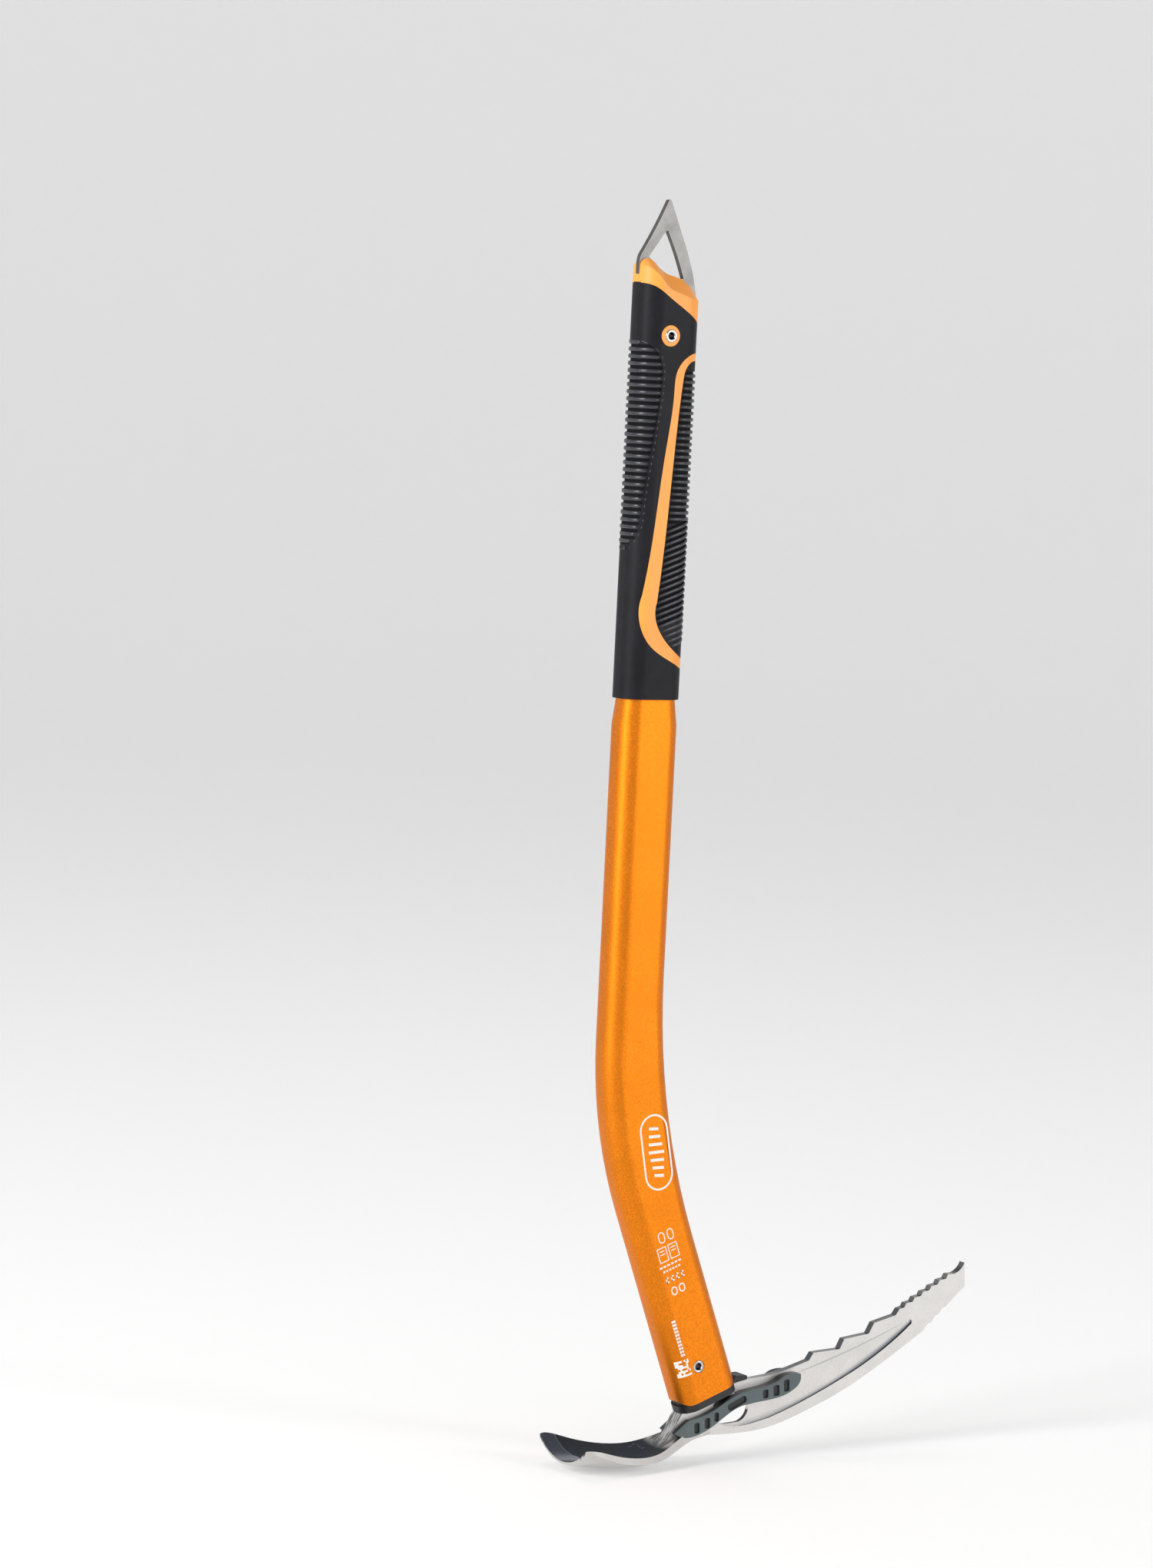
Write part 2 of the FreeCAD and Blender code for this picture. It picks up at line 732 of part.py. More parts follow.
SPIKE_EYE = [
    (-10.7, 561.2),
    (-2.3, 573.0),
    arc((-1.4, 573.6), (-0.7, 572.8)),
    curve((4.1, 563.0), (8.6, 551.6)),
    curve((-3.6, 555.6), (-9.0, 559.8), (-10.7, 561.2)),
]


def build_spike():
    body = new_body("spike_plate")
    plate = new_sketch(body, "spike_contour", "XZ_Plane")
    draw(plate, spike_contour())
    pad(body, "spike_thickness", plate, "dims.spike_thickness", symmetric=True)
    eye = new_sketch(body, "spike_eye", "XZ_Plane")
    draw(eye, SPIKE_EYE)
    pocket(body, "spike_eye_cut", eye, "60 mm", symmetric=True)
    return body


spike = minus("spike", build_spike(), [spike_rivet_hole])


def build_plug():
    """Fills the top of the tube's bore round the tang of the spike."""
    body = new_body("plug_blank")
    section = new_sketch(body, "plug_outline", "XY_Plane")
    section.setExpression("AttachmentOffset.Base.z", "dims.plug_foot")
    draw(section, inset_section("neck", size("tube_wall")))
    pad(body, "plug_height", section, "dims.tube_top - dims.plug_foot")
    return body


spike_plug = minus("spike_plug", build_plug(), [spike, spike_rivet_hole])


def cap_side(top):
    """Side contour of the cap between its parting line with the grip and its top edge."""
    start = (-15.6, 549.0)
    return [start, curve(*PARTING[1:4], (15.6, 530.2)), top[0], curve(*top[1:])]


def build_cap_block():
    """Bevelled block: full height over the plate of the spike, lower at both flat sides."""
    body = new_body("cap_block")
    ridge = size("cap_ridge_depth") / 2.0
    flank = size("grip_depth") / 2.0
    sections = []
    for number, (place, top) in enumerate(((-flank, BROW), (-ridge, CREST), (ridge, CREST), (flank, BROW))):
        section = new_sketch(body, "cap_section_%d" % number, "XZ_Plane", place)
        draw(section, cap_side(top))
        sections.append(section)
    block = body.newObject("PartDesign::AdditiveLoft", "cap_loft")
    block.Profile = sections[0]
    block.Sections = sections[1:]
    block.Ruled = True
    return body


cap_column = column("cap_column", "grip_width", "grip_depth", "grip_round", "tube_top", "spike_tip")
cap_foot = column("cap_foot", "neck_width", "neck_depth", "neck_round", "tube_top", "grip_top")
below_crest = prism("below_crest", [(-20.0, 500.0), (20.0, 500.0), (20.0, 529.0), (-20.0, 550.5)])
cap_outside = common("cap_outside", [build_cap_block(), cap_column])
cap_skirt = common("cap_skirt", [cap_foot, below_crest])
spike_cap = minus("spike_cap", fused("cap_whole", [cap_outside, cap_skirt]), [spike])

# ---------------------------------------------------------------- grip

OUTSIDE_X = 24.0              # well outside the grip
LOOP_OUTER = [
    (OUTSIDE_X, 519.0),
    (10.6, 517.0),
    curve((5.2, 513.6), (2.0, 508.6), (0.9, 499.0), (-2.3, 470.6), (-6.8, 431.0), (-10.6, 404.0)),
    curve((-11.4, 393.5), (-7.5, 383.0), (4.0, 374.6), (12.0, 370.6)),
    (OUTSIDE_X, 367.0),
]
LOOP_INNER = [
    (OUTSIDE_X, 515.0),
    (10.8, 513.6),
    curve((7.0, 510.4), (5.4, 504.0), (3.1, 477.8), (0.0, 431.3), (-2.9, 401.0)),
    curve((-2.8, 392.0), (1.4, 384.6), (6.5, 379.4), (12.0, 375.6)),
    (OUTSIDE_X, 371.0),
]
FRONT_ZONE = [
    (-OUTSIDE_X, 524.0),
    (-17.0, 523.0),
    curve((-9.6, 518.0), (-6.2, 511.0), (-5.8, 503.0), (-8.4, 480.0), (-12.0, 448.0), (-13.2, 434.0)),
    curve((-15.6, 427.4), (-20.0, 422.4)),
    (-OUTSIDE_X, 421.0),
]
above_parting = prism("above_parting", [
    (-20.0, PARTING[0][1]),
    curve(*PARTING[1:]),
    (20.0, 600.0),
    (-20.0, 600.0),
])


def comb(name, foot, pitch, count, back, reach, slope=0.0):
    """Cutter with one tooth for each groove, joined by a bar outside the grip.

    The bar is at x = back, the teeth reach to x = reach and slope up towards the bar.
    """
    body = new_body(name)
    wide = size("groove_width")
    rise = math.tan(math.radians(slope)) * (back - reach)
    low = size(foot)
    high = low + size(pitch) * (size(count) - 1) + rise + wide
    edge = 4.0 if back > 0 else -4.0
    bar = new_sketch(body, name + "_bar_outline", "XZ_Plane")
    draw(bar, [(back, low + rise), (back + edge, low + rise), (back + edge, high), (back, high)])
    pad(body, name + "_bar", bar, "60 mm", symmetric=True)
    tooth_outline = new_sketch(body, name + "_tooth_outline", "XZ_Plane")
    draw(tooth_outline, [
        (reach, low),
        (back, low + rise),
        (back + edge, low + rise),
        (back + edge, low + rise + wide),
        (back, low + rise + wide),
        (reach, low + wide),
    ])
    tooth = pad(body, name + "_tooth", tooth_outline, "60 mm", symmetric=True)
    row_of_teeth = body.newObject("PartDesign::LinearPattern", name + "_teeth")
    row_of_teeth.Originals = [tooth]
    row_of_teeth.Direction = (tooth_outline, ["V_Axis"])
    row_of_teeth.setExpression("Length", "dims.%s * (dims.%s - 1)" % (pitch, count))
    row_of_teeth.setExpression("Occurrences", "dims." + count)
    body.Tip = row_of_teeth
    return body


grip_blank = column("grip_blank", "grip_width", "grip_depth", "grip_round", "grip_foot", "grip_top")
core_blank = column("core_blank", "core_width", "core_depth", "core_round", "grip_foot", "grip_top")
groove_floor = new_body("groove_floor")
floor_outline = new_sketch(groove_floor, "groove_floor_section", "XY_Plane")
floor_outline.setExpression("AttachmentOffset.Base.z", "dims.grip_foot")
draw(floor_outline, inset_section("grip", size("groove_depth")))
pad(groove_floor, "groove_floor_length", floor_outline, "dims.grip_top - dims.grip_foot")
skin = minus("grip_skin", grip_blank, [groove_floor])

front_comb = comb("front_comb", "front_rib_foot", "front_rib_pitch", "front_rib_count", -18.0, 2.0)
panel_comb = comb("panel_comb", "panel_rib_foot", "panel_rib_pitch", "panel_rib_count", 18.0, -8.0)
slant_comb = comb(
    "slant_comb", "slant_rib_foot", "panel_rib_pitch", "slant_rib_count", 18.0, -8.0,
    size("slant_rib_angle"))
front_grooves = common("front_grooves", [skin, prism("front_zone", FRONT_ZONE), front_comb])
loop_outer = prism("loop_outer", LOOP_OUTER)
loop_inner = prism("loop_inner", LOOP_INNER)
panel_grooves = common("panel_grooves", [skin, fused("panel_combs", [panel_comb, slant_comb])])

stripe = minus("stripe", common("stripe_zone", [grip_blank, loop_outer]), [loop_inner])
grip_core = minus(
    "grip_core", fused("core_and_stripe", [core_blank, stripe]),
    [shaft_bar, above_parting, spike_cap, seat_hole])
grip_sleeve = minus(
    "grip_sleeve", grip_blank, [core_blank, loop_outer, above_parting, spike_cap, seat_hole, front_grooves])
grip_panel = minus(
    "grip_panel", common("panel_zone", [grip_blank, loop_inner]), [core_blank, panel_grooves])

# ---------------------------------------------------------------- checks and export

SUB_PARTS = [
    shaft_tube, head, head_insert, head_rivet, spike, spike_plug, spike_cap, spike_rivet,
    grip_core, grip_sleeve, grip_panel,
] + rivet_seats + trim_pieces

doc.recompute()
for item in doc.Objects:
    if "Invalid" in item.State or "Error" in item.State:
        raise RuntimeError("%s did not compute" % item.Name)
for item in SUB_PARTS:
    shape = item.Shape
    if shape.isNull() or not shape.isValid():
        raise RuntimeError("%s has no valid shape" % item.Label)
    if len(shape.Solids) != 1:
        raise RuntimeError("%s has %d solids" % (item.Label, len(shape.Solids)))
    print("%-18s %10.1f mm3" % (item.Label, shape.Volume))
for item in SUB_PARTS:
    item.Shape.exportStep("parts/%s.step" % item.Label)
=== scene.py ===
"""Looks of a mountaineering ice axe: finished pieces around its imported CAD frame."""
import math

import bmesh
import bpy
import numpy as np
from bpy.props import FloatProperty, FloatVectorProperty, PointerProperty
from mathutils import Matrix, Vector


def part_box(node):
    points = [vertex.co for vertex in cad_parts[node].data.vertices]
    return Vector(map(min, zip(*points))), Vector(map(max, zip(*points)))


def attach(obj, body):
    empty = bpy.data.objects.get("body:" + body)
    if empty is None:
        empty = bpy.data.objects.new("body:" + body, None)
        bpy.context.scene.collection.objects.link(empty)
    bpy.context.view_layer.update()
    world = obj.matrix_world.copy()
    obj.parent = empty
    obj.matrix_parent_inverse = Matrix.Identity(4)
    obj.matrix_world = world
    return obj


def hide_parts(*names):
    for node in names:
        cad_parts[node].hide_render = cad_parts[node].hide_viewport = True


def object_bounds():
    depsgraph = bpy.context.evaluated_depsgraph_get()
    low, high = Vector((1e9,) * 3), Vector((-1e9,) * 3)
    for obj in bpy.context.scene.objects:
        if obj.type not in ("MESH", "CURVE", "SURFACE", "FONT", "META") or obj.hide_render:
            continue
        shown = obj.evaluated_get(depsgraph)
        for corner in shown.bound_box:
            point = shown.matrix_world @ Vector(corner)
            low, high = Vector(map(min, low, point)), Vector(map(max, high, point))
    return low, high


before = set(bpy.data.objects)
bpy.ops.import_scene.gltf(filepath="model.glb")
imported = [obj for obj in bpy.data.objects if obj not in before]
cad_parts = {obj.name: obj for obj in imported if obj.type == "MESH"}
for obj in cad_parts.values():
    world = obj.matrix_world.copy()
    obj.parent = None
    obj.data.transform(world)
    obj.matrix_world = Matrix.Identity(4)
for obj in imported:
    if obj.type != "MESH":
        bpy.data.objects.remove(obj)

bl_info = {
    "name": "Ice axe",
    "version": (1, 0, 0),
    "blender": (4, 5, 0),
    "location": "3D View > Sidebar > Ice axe",
    "description": "Builds the finished pieces of a mountaineering ice axe and its studio",
    "category": "Object",
}

MM = 0.001
CAD_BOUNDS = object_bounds()
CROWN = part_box("spike")[1].z - 588 * MM      # heights below are counted from the crown of the head
SHAFT_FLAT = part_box("shaft_tube")[0].y       # the left flat of the shaft
GRIP_HALF_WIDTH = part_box("grip_sleeve")[1].x
GRIP_HALF_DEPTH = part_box("grip_sleeve")[1].y
GRIP_ROUND = 9.6 * MM


# ---------------------------------------------------------------- node trees

class Wire:
    """An output socket; arithmetic on it adds Math nodes to its tree."""

    def __init__(self, graph, socket):
        self.graph = graph
        self.socket = socket

    def math(self, operation, *others, clamp=False):
        inputs = dict(enumerate((self,) + others))
        settings = {"operation": operation, "use_clamp": clamp}
        return self.graph.node("ShaderNodeMath", settings, inputs)

    def __add__(self, other):
        return self.math("ADD", other)

    __radd__ = __add__

    def __sub__(self, other):
        return self.math("SUBTRACT", other)

    def __rsub__(self, other):
        return self.graph.node("ShaderNodeMath", {"operation": "SUBTRACT"}, {0: other, 1: self})

    def __mul__(self, other):
        return self.math("MULTIPLY", other)

    def __truediv__(self, other):
        return self.math("DIVIDE", other)

    def __pow__(self, other):
        return self.math("POWER", other)

    def __abs__(self):
        return self.math("ABSOLUTE")

    def least(self, other):
        return self.math("MINIMUM", other)

    def most(self, other):
        return self.math("MAXIMUM", other)

    def clamped(self):
        return self.math("ADD", 0.0, clamp=True)

    def step(self, start, end):
        """0 below start, 1 above end, smooth between; start may be the larger."""
        low, high = sorted((start, end))
        rising = float(start < end)
        settings = {"interpolation_type": "SMOOTHSTEP"}
        inputs = {"Value": self, "From Min": low, "From Max": high, "To Min": 1.0 - rising, "To Max": rising}
        return self.graph.node("ShaderNodeMapRange", settings, inputs)


class Graph:
    """Adds nodes to a shader tree or a geometry tree."""

    def __init__(self, tree):
        self.tree = tree
        tree.nodes.clear()

    def node(self, kind, settings=None, inputs=None, output=0):
        """One node: its settings first, then the values or links of its sockets."""
        made = self.tree.nodes.new(kind)
        for name, value in (settings or {}).items():
            setattr(made, name, value)
        for name, value in (inputs or {}).items():
            socket = made.inputs[name]
            if isinstance(value, Wire):
                self.tree.links.new(value.socket, socket)
            else:
                socket.default_value = value
        return Wire(self, made.outputs[output])


class Finish(Graph):
    """A surface finish: one Principled shader and the nodes that vary it."""

    def __init__(self, name, **constants):
        self.material = bpy.data.materials.new(name)
        self.material.use_nodes = True
        super().__init__(self.material.node_tree)
        self.shader = self.tree.nodes.new("ShaderNodeBsdfPrincipled")
        output = self.tree.nodes.new("ShaderNodeOutputMaterial")
        self.tree.links.new(self.shader.outputs[0], output.inputs[0])
        for name, value in constants.items():
            self.shader.inputs[name.replace("_", " ")].default_value = value
        self.place = self.node("ShaderNodeTexCoord", output="Object")
        self.x, self.y, self.z = self.split(self.place)
        _, self.facing_y, self.facing_z = self.split(self.node("ShaderNodeNewGeometry", output="Normal"))

    def split(self, vector):
        """The three parts of a vector."""
        return [self.node("ShaderNodeSeparateXYZ", inputs={0: vector}, output=axis) for axis in range(3)]

    def feed(self, name, value):
        """Links what varies to one of the shader's sockets."""
        self.tree.links.new(value.socket, self.shader.inputs[name])

    def noise(self, size, detail=3.0, roughness=0.55, stretch=(1.0, 1.0, 1.0)):
        """Noise about 0.5 with features of about the given size in metres."""
        place = self.place
        if stretch != (1.0, 1.0, 1.0):
            place = self.node("ShaderNodeMapping", inputs={"Vector": place, "Scale": stretch})
        inputs = {"Vector": place, "Scale": 1.0 / size, "Detail": detail, "Roughness": roughness}
        return self.node("ShaderNodeTexNoise", inputs=inputs, output="Fac")

    def blend(self, factor, first, second):
        """Colour between two colours or links."""
        inputs = {0: factor, 6: first, 7: second}
        return self.node("ShaderNodeMix", {"data_type": "RGBA"}, inputs, output=2)

    def edge_wear_and_highlight(self):
        """1 on the rounded edges of the piece, 0 elsewhere."""
        return self.node("ShaderNodeAttribute", {"attribute_name": "edge"}, output="Fac")

    def along(self, points):
        """Height, in millimetres, of a smooth line through points given as x and height."""
        square, slope, start = (float(number) for number in np.polyfit(*zip(*points), 2))
        x = self.x / MM
        return x * x * square + x * slope + start

    def relief(self, height, depth, strength):
        """Bump of the given depth in metres."""
        inputs = {"Strength": strength, "Distance": depth, "Height": height}
        self.feed("Normal", self.node("ShaderNodeBump", inputs=inputs))


def paint(colour, shade=1.0):
    """An opaque colour, made darker or lighter."""
    return tuple(min(1.0, channel * shade) for channel in colour[:3]) + (1.0,)


# ---------------------------------------------------------------- finishes

BARE_ALLOY = (0.78, 0.62, 0.45, 1.0)


def anodised_finish(colours):
    """Satin anodised aluminium: fine blasted grain, faint long draw lines, bare metal at the edges."""
    finish = Finish("anodised_alloy", IOR=1.6, Specular_IOR_Level=0.5)
    grain = finish.noise(0.8 * MM, 5.0, 0.8)
    cloud = finish.noise(26 * MM, 2.0)
    draw_lines = finish.noise(1.2 * MM, 2.0, stretch=(1.0, 1.0, 0.02))
    deep, light = paint(colours.anodised, 0.94), paint(colours.anodised, 1.06)
    orange = finish.blend(cloud.step(0.35, 0.65), deep, light)
    speckled = finish.blend(grain.step(0.38, 0.62), paint(colours.anodised, 0.76), orange)
    speckled = finish.blend(grain.step(0.56, 0.70) * 0.4, speckled, paint(colours.anodised, 1.4))
    wear = finish.edge_wear_and_highlight() * finish.noise(1.6 * MM, 4.0).step(0.52, 0.62)
    finish.feed("Base Color", finish.blend(wear * 0.6, speckled, BARE_ALLOY))
    finish.feed("Metallic", 0.92 + wear * 0.05)
    finish.feed("Roughness", 0.30 + grain * 0.16 + draw_lines * 0.05 + cloud * 0.04)
    finish.relief(grain + draw_lines * 0.5, 0.03 * MM, 0.5)
    return finish.material


# Edges of the recess in the pick, as x and height above the crown, in millimetres.
RECESS_LOW = [
    (73.0, 5.3), (88.8, 8.2), (106.0, 14.4), (123.4, 21.9), (136.5, 28.2), (153.8, 38.3), (168.8, 49.6),
]
RECESS_HIGH = [
    (64.0, 21.6), (80.0, 23.4), (98.0, 27.6), (113.8, 32.6), (131.3, 38.2), (153.3, 46.3), (167.2, 51.6),
]
RECESS_MIDDLE = (106.0, 23.5)     # a point half way between those edges
RECESS_SLOPE = 0.47
RECESS_ROOT = 14.0                # height of its middle behind the hub


def recess_masks(finish, height):
    """Painted shade on the recess floor beside its two edges, deeper towards the tip; and a mask of its
    narrow walls, which take painted shade too.
    """
    above_low_edge = height / MM - finish.along(RECESS_LOW)
    below_high_edge = finish.along(RECESS_HIGH) - height / MM
    on_web = abs(finish.y).step(1.7 * MM, 1.5 * MM)
    within = on_web * finish.x.step(66 * MM, 76 * MM) * finish.x.step(172 * MM, 168 * MM)
    towards_tip = (finish.x - 37 * MM) / (130 * MM)
    shade = (above_low_edge.step(3.2, 0.2) * towards_tip).most(below_high_edge.step(1.1, 0.3) * 0.45)
    along_slope = (finish.x - RECESS_MIDDLE[0] * MM) * RECESS_SLOPE
    middle = (RECESS_MIDDLE[1] * MM + along_slope).most(RECESS_ROOT * MM)
    narrow = (1.0 - abs(finish.facing_y).step(0.3, 0.6)) * finish.x.step(57 * MM, 59 * MM)
    low_wall = finish.facing_z.step(0.1, 0.3) * (middle - height).step(0.0, 0.5 * MM)
    high_wall = finish.facing_z.step(-0.1, -0.3) * (height - middle).step(0.0, 0.5 * MM)
    return shade * within, (low_wall * narrow).most(high_wall * narrow)


def adze_masks(finish):
    """Wavy ground strip behind the adze's edge, and a painted dark reflection on the rest of its scoop,
    fainter on its rounded edges and in noisy patches.
    """
    scoop = finish.facing_z.step(0.55, 0.75) * finish.x.step(31 * MM, 25 * MM)
    waver = (finish.noise(12 * MM, 2.0) - 0.5) * (9.0 * MM)
    ground = (finish.x + waver + finish.y * 0.12).step(-13.0 * MM, -13.8 * MM) * scoop
    rubbed = finish.noise(3.5 * MM, 5.0, 0.6).step(0.62, 0.75) * 0.35
    # Painted dark reflection on the upward face of the scoop.
    painted_scoop_reflection = scoop * (1.0 - ground) * (1.0 - finish.edge_wear_and_highlight() * 0.9) * (1.0 - rubbed)
    return ground, painted_scoop_reflection


def tooth_side_reflection(finish, height):
    """Painted dark reflection on the narrow side of the pick that carries the teeth, away from its rounded
    edges.
    """
    narrow = 1.0 - abs(finish.facing_y).step(0.2, 0.5)
    on_pick = finish.x.step(76 * MM, 80 * MM) * height.step(26 * MM, 30 * MM)
    return narrow * on_pick * finish.facing_z.step(0.1, 0.5) * (1.0 - finish.edge_wear_and_highlight())


def neck_reflection_streaks(finish, height):
    """Painted dark reflection streaks on the narrow back of the neck between insert and adze."""
    streaks = finish.noise(1.5 * MM, 3.0, 0.6, stretch=(0.15, 1.0, 0.15)).step(0.45, 0.58)
    narrow = abs(finish.facing_y).step(0.5, 0.2)
    return streaks * narrow * finish.x.step(42 * MM, 38 * MM) * height.step(-4 * MM, 0.0)


def forged_finish(colours):
    """Forged and ground steel of the head: speckled satin, painted highlight on the rims and narrow faces,
    painted dark reflection in the scoop, painted shade in the recess, ground edge.
    """
    finish = Finish("forged_alloy_steel", IOR=1.5, Specular_IOR_Level=0.3)
    height = finish.z - CROWN
    speck = finish.noise(0.35 * MM, 5.0, 0.75)
    blotch = finish.noise(1.1 * MM, 4.0, 0.8).step(0.52, 0.66)
    cloud = finish.noise(14 * MM, 3.0)
    brush = finish.noise(0.5 * MM, 3.0, 0.6, stretch=(0.06, 1.0, 1.0))
    flat = abs(finish.facing_y).step(0.85, 0.97)
    # Painted highlight: full on the rounded edges, fainter on every face that is not a flat side.
    rim_highlight = finish.edge_wear_and_highlight().most((1.0 - flat) * 0.6)
    shade, walls = recess_masks(finish, height)
    ground, painted_scoop_reflection = adze_masks(finish)
    steel = finish.blend(cloud.step(0.3, 0.7), paint(colours.steel, 0.97), paint(colours.steel, 1.04))
    layers = (
        (speck.step(0.56, 0.72) * 0.6, paint(colours.steel, 0.5)),
        (blotch * 0.5, paint(colours.steel, 0.72)),
        # Painted highlight on the rims.
        (rim_highlight * 0.6, paint(colours.steel, 1.1)),
        # Painted dark reflection in the scoop.
        (painted_scoop_reflection, paint(colours.steel_shade_and_reflection)),
        # Painted dark reflection streaks on the neck.
        (neck_reflection_streaks(finish, height) * 0.8, paint(colours.steel_shade_and_reflection, 2.0)),
        # Painted shade on the recess floor.
        (shade * 0.8, paint(colours.steel_shade_and_reflection, 5.0)),
        # Painted shade on the recess's narrow walls.
        (walls * 0.9, paint(colours.steel_shade_and_reflection, 1.4)),
        (ground * 0.9, paint(colours.ground_steel)),
        # Painted dark reflection on the tooth side.
        (tooth_side_reflection(finish, height) * 0.75, paint(colours.steel_shade_and_reflection, 1.2)),
    )
    colour = steel
    for cover, layer in layers:
        colour = finish.blend(cover, colour, layer)
    finish.feed("Base Color", colour)
    satin = flat * (0.16 + speck * 0.12)
    finish.feed("Roughness", 0.15 + satin + brush * 0.08 + painted_scoop_reflection * 0.48)
    finish.feed("Metallic", (0.98 - painted_scoop_reflection * 0.9 - walls * 0.6).clamped())
    finish.relief(speck * (0.4 + flat * 0.6) + brush * 0.5, 0.05 * MM, 0.45)
    return finish.material


def spike_finish(colours):
    """Stainless plate: bead blasted faces with fine dark specks, much darker narrow sides, brighter rims."""
    finish = Finish("blasted_stainless", IOR=2.2)
    speck = finish.noise(0.3 * MM, 5.0, 0.75)
    brush = finish.noise(0.6 * MM, 3.0, 0.6, stretch=(1.0, 1.0, 0.08))
    cloud = finish.noise(9 * MM, 3.0)
    steel = finish.blend(cloud.step(0.3, 0.7), paint(colours.steel, 0.47), paint(colours.steel, 0.62))
    steel = finish.blend(speck.step(0.56, 0.72) * 0.6, steel, paint(colours.steel, 0.3))
    side = 1.0 - abs(finish.facing_y).step(0.5, 0.9)
    bright = (finish.edge_wear_and_highlight() * 0.8).clamped()
    colour = finish.blend(bright, steel, paint(colours.steel, 0.9))
    finish.feed("Base Color", finish.blend(side * 0.7, colour, paint(colours.steel, 0.16)))
    finish.feed("Roughness", 0.44 + speck * 0.14 - bright * 0.16 + brush * 0.08)
    finish.feed("Metallic", 0.98 - speck.step(0.6, 0.75) * 0.2)
    finish.relief(speck + brush * 0.6, 0.05 * MM, 0.5)
    return finish.material


def rivet_finish(colours):
    """Nickel-plated rivet: bright with faint rolling marks."""
    finish = Finish("plated_rivet", IOR=2.2)
    marks = finish.noise(0.25 * MM, 3.0)
    cloud = finish.noise(1.5 * MM, 3.0)
    finish.feed("Base Color", finish.blend(cloud, paint(colours.steel, 0.8), paint(colours.steel, 1.08)))
    finish.feed("Roughness", 0.13 + marks * 0.16)
    finish.feed("Metallic", 1.0 - marks.step(0.6, 0.8) * 0.15)
    finish.relief(marks, 0.02 * MM, 0.4)
    return finish.material


def moulded_finish(name, colour, roughness, grain_size, depth, mottle=0.12, scuff=0.5):
    """Moulded plastic or rubber: eroded mould texture, soft mottling, edges rubbed paler."""
    finish = Finish(name, IOR=1.5, Specular_IOR_Level=0.5)
    grain = finish.noise(grain_size, 4.0, 0.65)
    cloud = finish.noise(18 * MM, 3.0)
    base = finish.blend(cloud.step(0.3, 0.7), paint(colour, 1.0 - mottle), paint(colour, 1.0 + mottle))
    base = finish.blend(grain.step(0.55, 0.75) * 0.35, base, paint(colour, 0.7))
    rubbed = finish.edge_wear_and_highlight() * finish.noise(2.4 * MM, 4.0).step(0.42, 0.68) * scuff
    pale = tuple(0.75 * channel + 0.125 for channel in colour[:3]) + (1.0,)
    finish.feed("Base Color", finish.blend(rubbed * 0.5, base, pale))
    finish.feed("Roughness", roughness + grain * 0.14 - 0.07 + cloud * 0.05)
    finish.relief(grain, depth, 0.6)
    return finish.material


def grip_finish(name, colours, shine):
    """Soft grip rubber: fine mould texture, painted shade in the grooves, painted highlight on the crowns,
    which are also smoother.
    """
    finish = Finish(name, IOR=1.5, Specular_IOR_Level=shine)
    middle_x = GRIP_HALF_WIDTH - GRIP_ROUND
    middle_y = GRIP_HALF_DEPTH - GRIP_ROUND
    across = (abs(finish.x) - middle_x).most(0.0)
    deep = (abs(finish.y) - middle_y).most(0.0)
    above = (across * across + deep * deep) ** 0.5 - GRIP_ROUND
    grain = finish.noise(0.35 * MM, 4.0, 0.65)
    cloud = finish.noise(16 * MM, 3.0)
    smear = finish.noise(5 * MM, 5.0, 0.6)
    groove = above.step(-0.15 * MM, -0.55 * MM)
    crown = above.step(0.08 * MM, 0.30 * MM)
    rubber = finish.blend(cloud.step(0.3, 0.7), paint(colours.rubber, 0.8), paint(colours.rubber, 1.2))
    rubber = finish.blend(smear.step(0.52, 0.75) * 0.3, rubber, paint(colours.rubber, 2.2))
    # Painted shade darkening the grooves.
    rubber = finish.blend(groove * 0.8, rubber, paint(colours.rubber, 0.3))
    # Painted highlight lightening the rib crowns.
    rubber = finish.blend((crown * (0.5 + smear * 0.5)).clamped(), rubber, paint(colours.rubber, 3.4))
    finish.feed("Base Color", rubber)
    finish.feed("Roughness", 0.40 + grain * 0.12 - crown * 0.16 + groove * 0.25 + cloud * 0.04)
    finish.relief(grain, 0.03 * MM, 0.6)
    return finish.material


def orange_finish(name, colours, roughness, grain_size):
    """Orange plastic, hardly mottled and little rubbed."""
    return moulded_finish(name, colours.plastic, roughness, grain_size, 0.02 * MM, mottle=0.05, scuff=0.2)


def print_finish(colours):
    """White screen print, thin and slightly broken by the grain below."""
    finish = Finish("white_print", IOR=1.5)
    breaks = finish.noise(0.35 * MM, 4.0, 0.7).step(0.66, 0.74)
    cloud = finish.noise(6 * MM, 2.0)
    white, orange = paint(colours.print_white), paint(colours.anodised, 1.1)
    finish.feed("Base Color", finish.blend(breaks * 0.55, white, orange))
    finish.feed("Roughness", 0.42 + cloud * 0.16)
    finish.relief(cloud, 0.01 * MM, 0.3)
    return finish.material


# ---------------------------------------------------------------- meshes

def set_materials(mesh, *materials):
    """Gives the mesh these materials; every face takes the first."""
    mesh.materials.clear()
    for material in materials:
        mesh.materials.append(material)
    for polygon in mesh.polygons:
        polygon.material_index = 0


def mark_edges(mesh, amounts):
    """Stores for every face how far it is a rounded edge, which takes wear and painted highlight."""
    mesh.attributes.new("edge", "FLOAT", "FACE").data.foreach_set("value", amounts)


def worker_with(mesh):
    """Working object that carries modifiers for a while."""
    worker = bpy.data.objects.new("worker", mesh)
    bpy.context.scene.collection.objects.link(worker)
    return worker


def piece_from(name, mesh, material, slot, *nodes):
    """Puts a finished mesh into the scene, riding on the frame and standing for CAD nodes."""
    mesh.name = name
    piece = bpy.data.objects.new(name, mesh)
    bpy.context.scene.collection.objects.link(piece)
    set_materials(mesh, material)
    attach(piece, "root")
    if nodes:
        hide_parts(*nodes)
    return piece


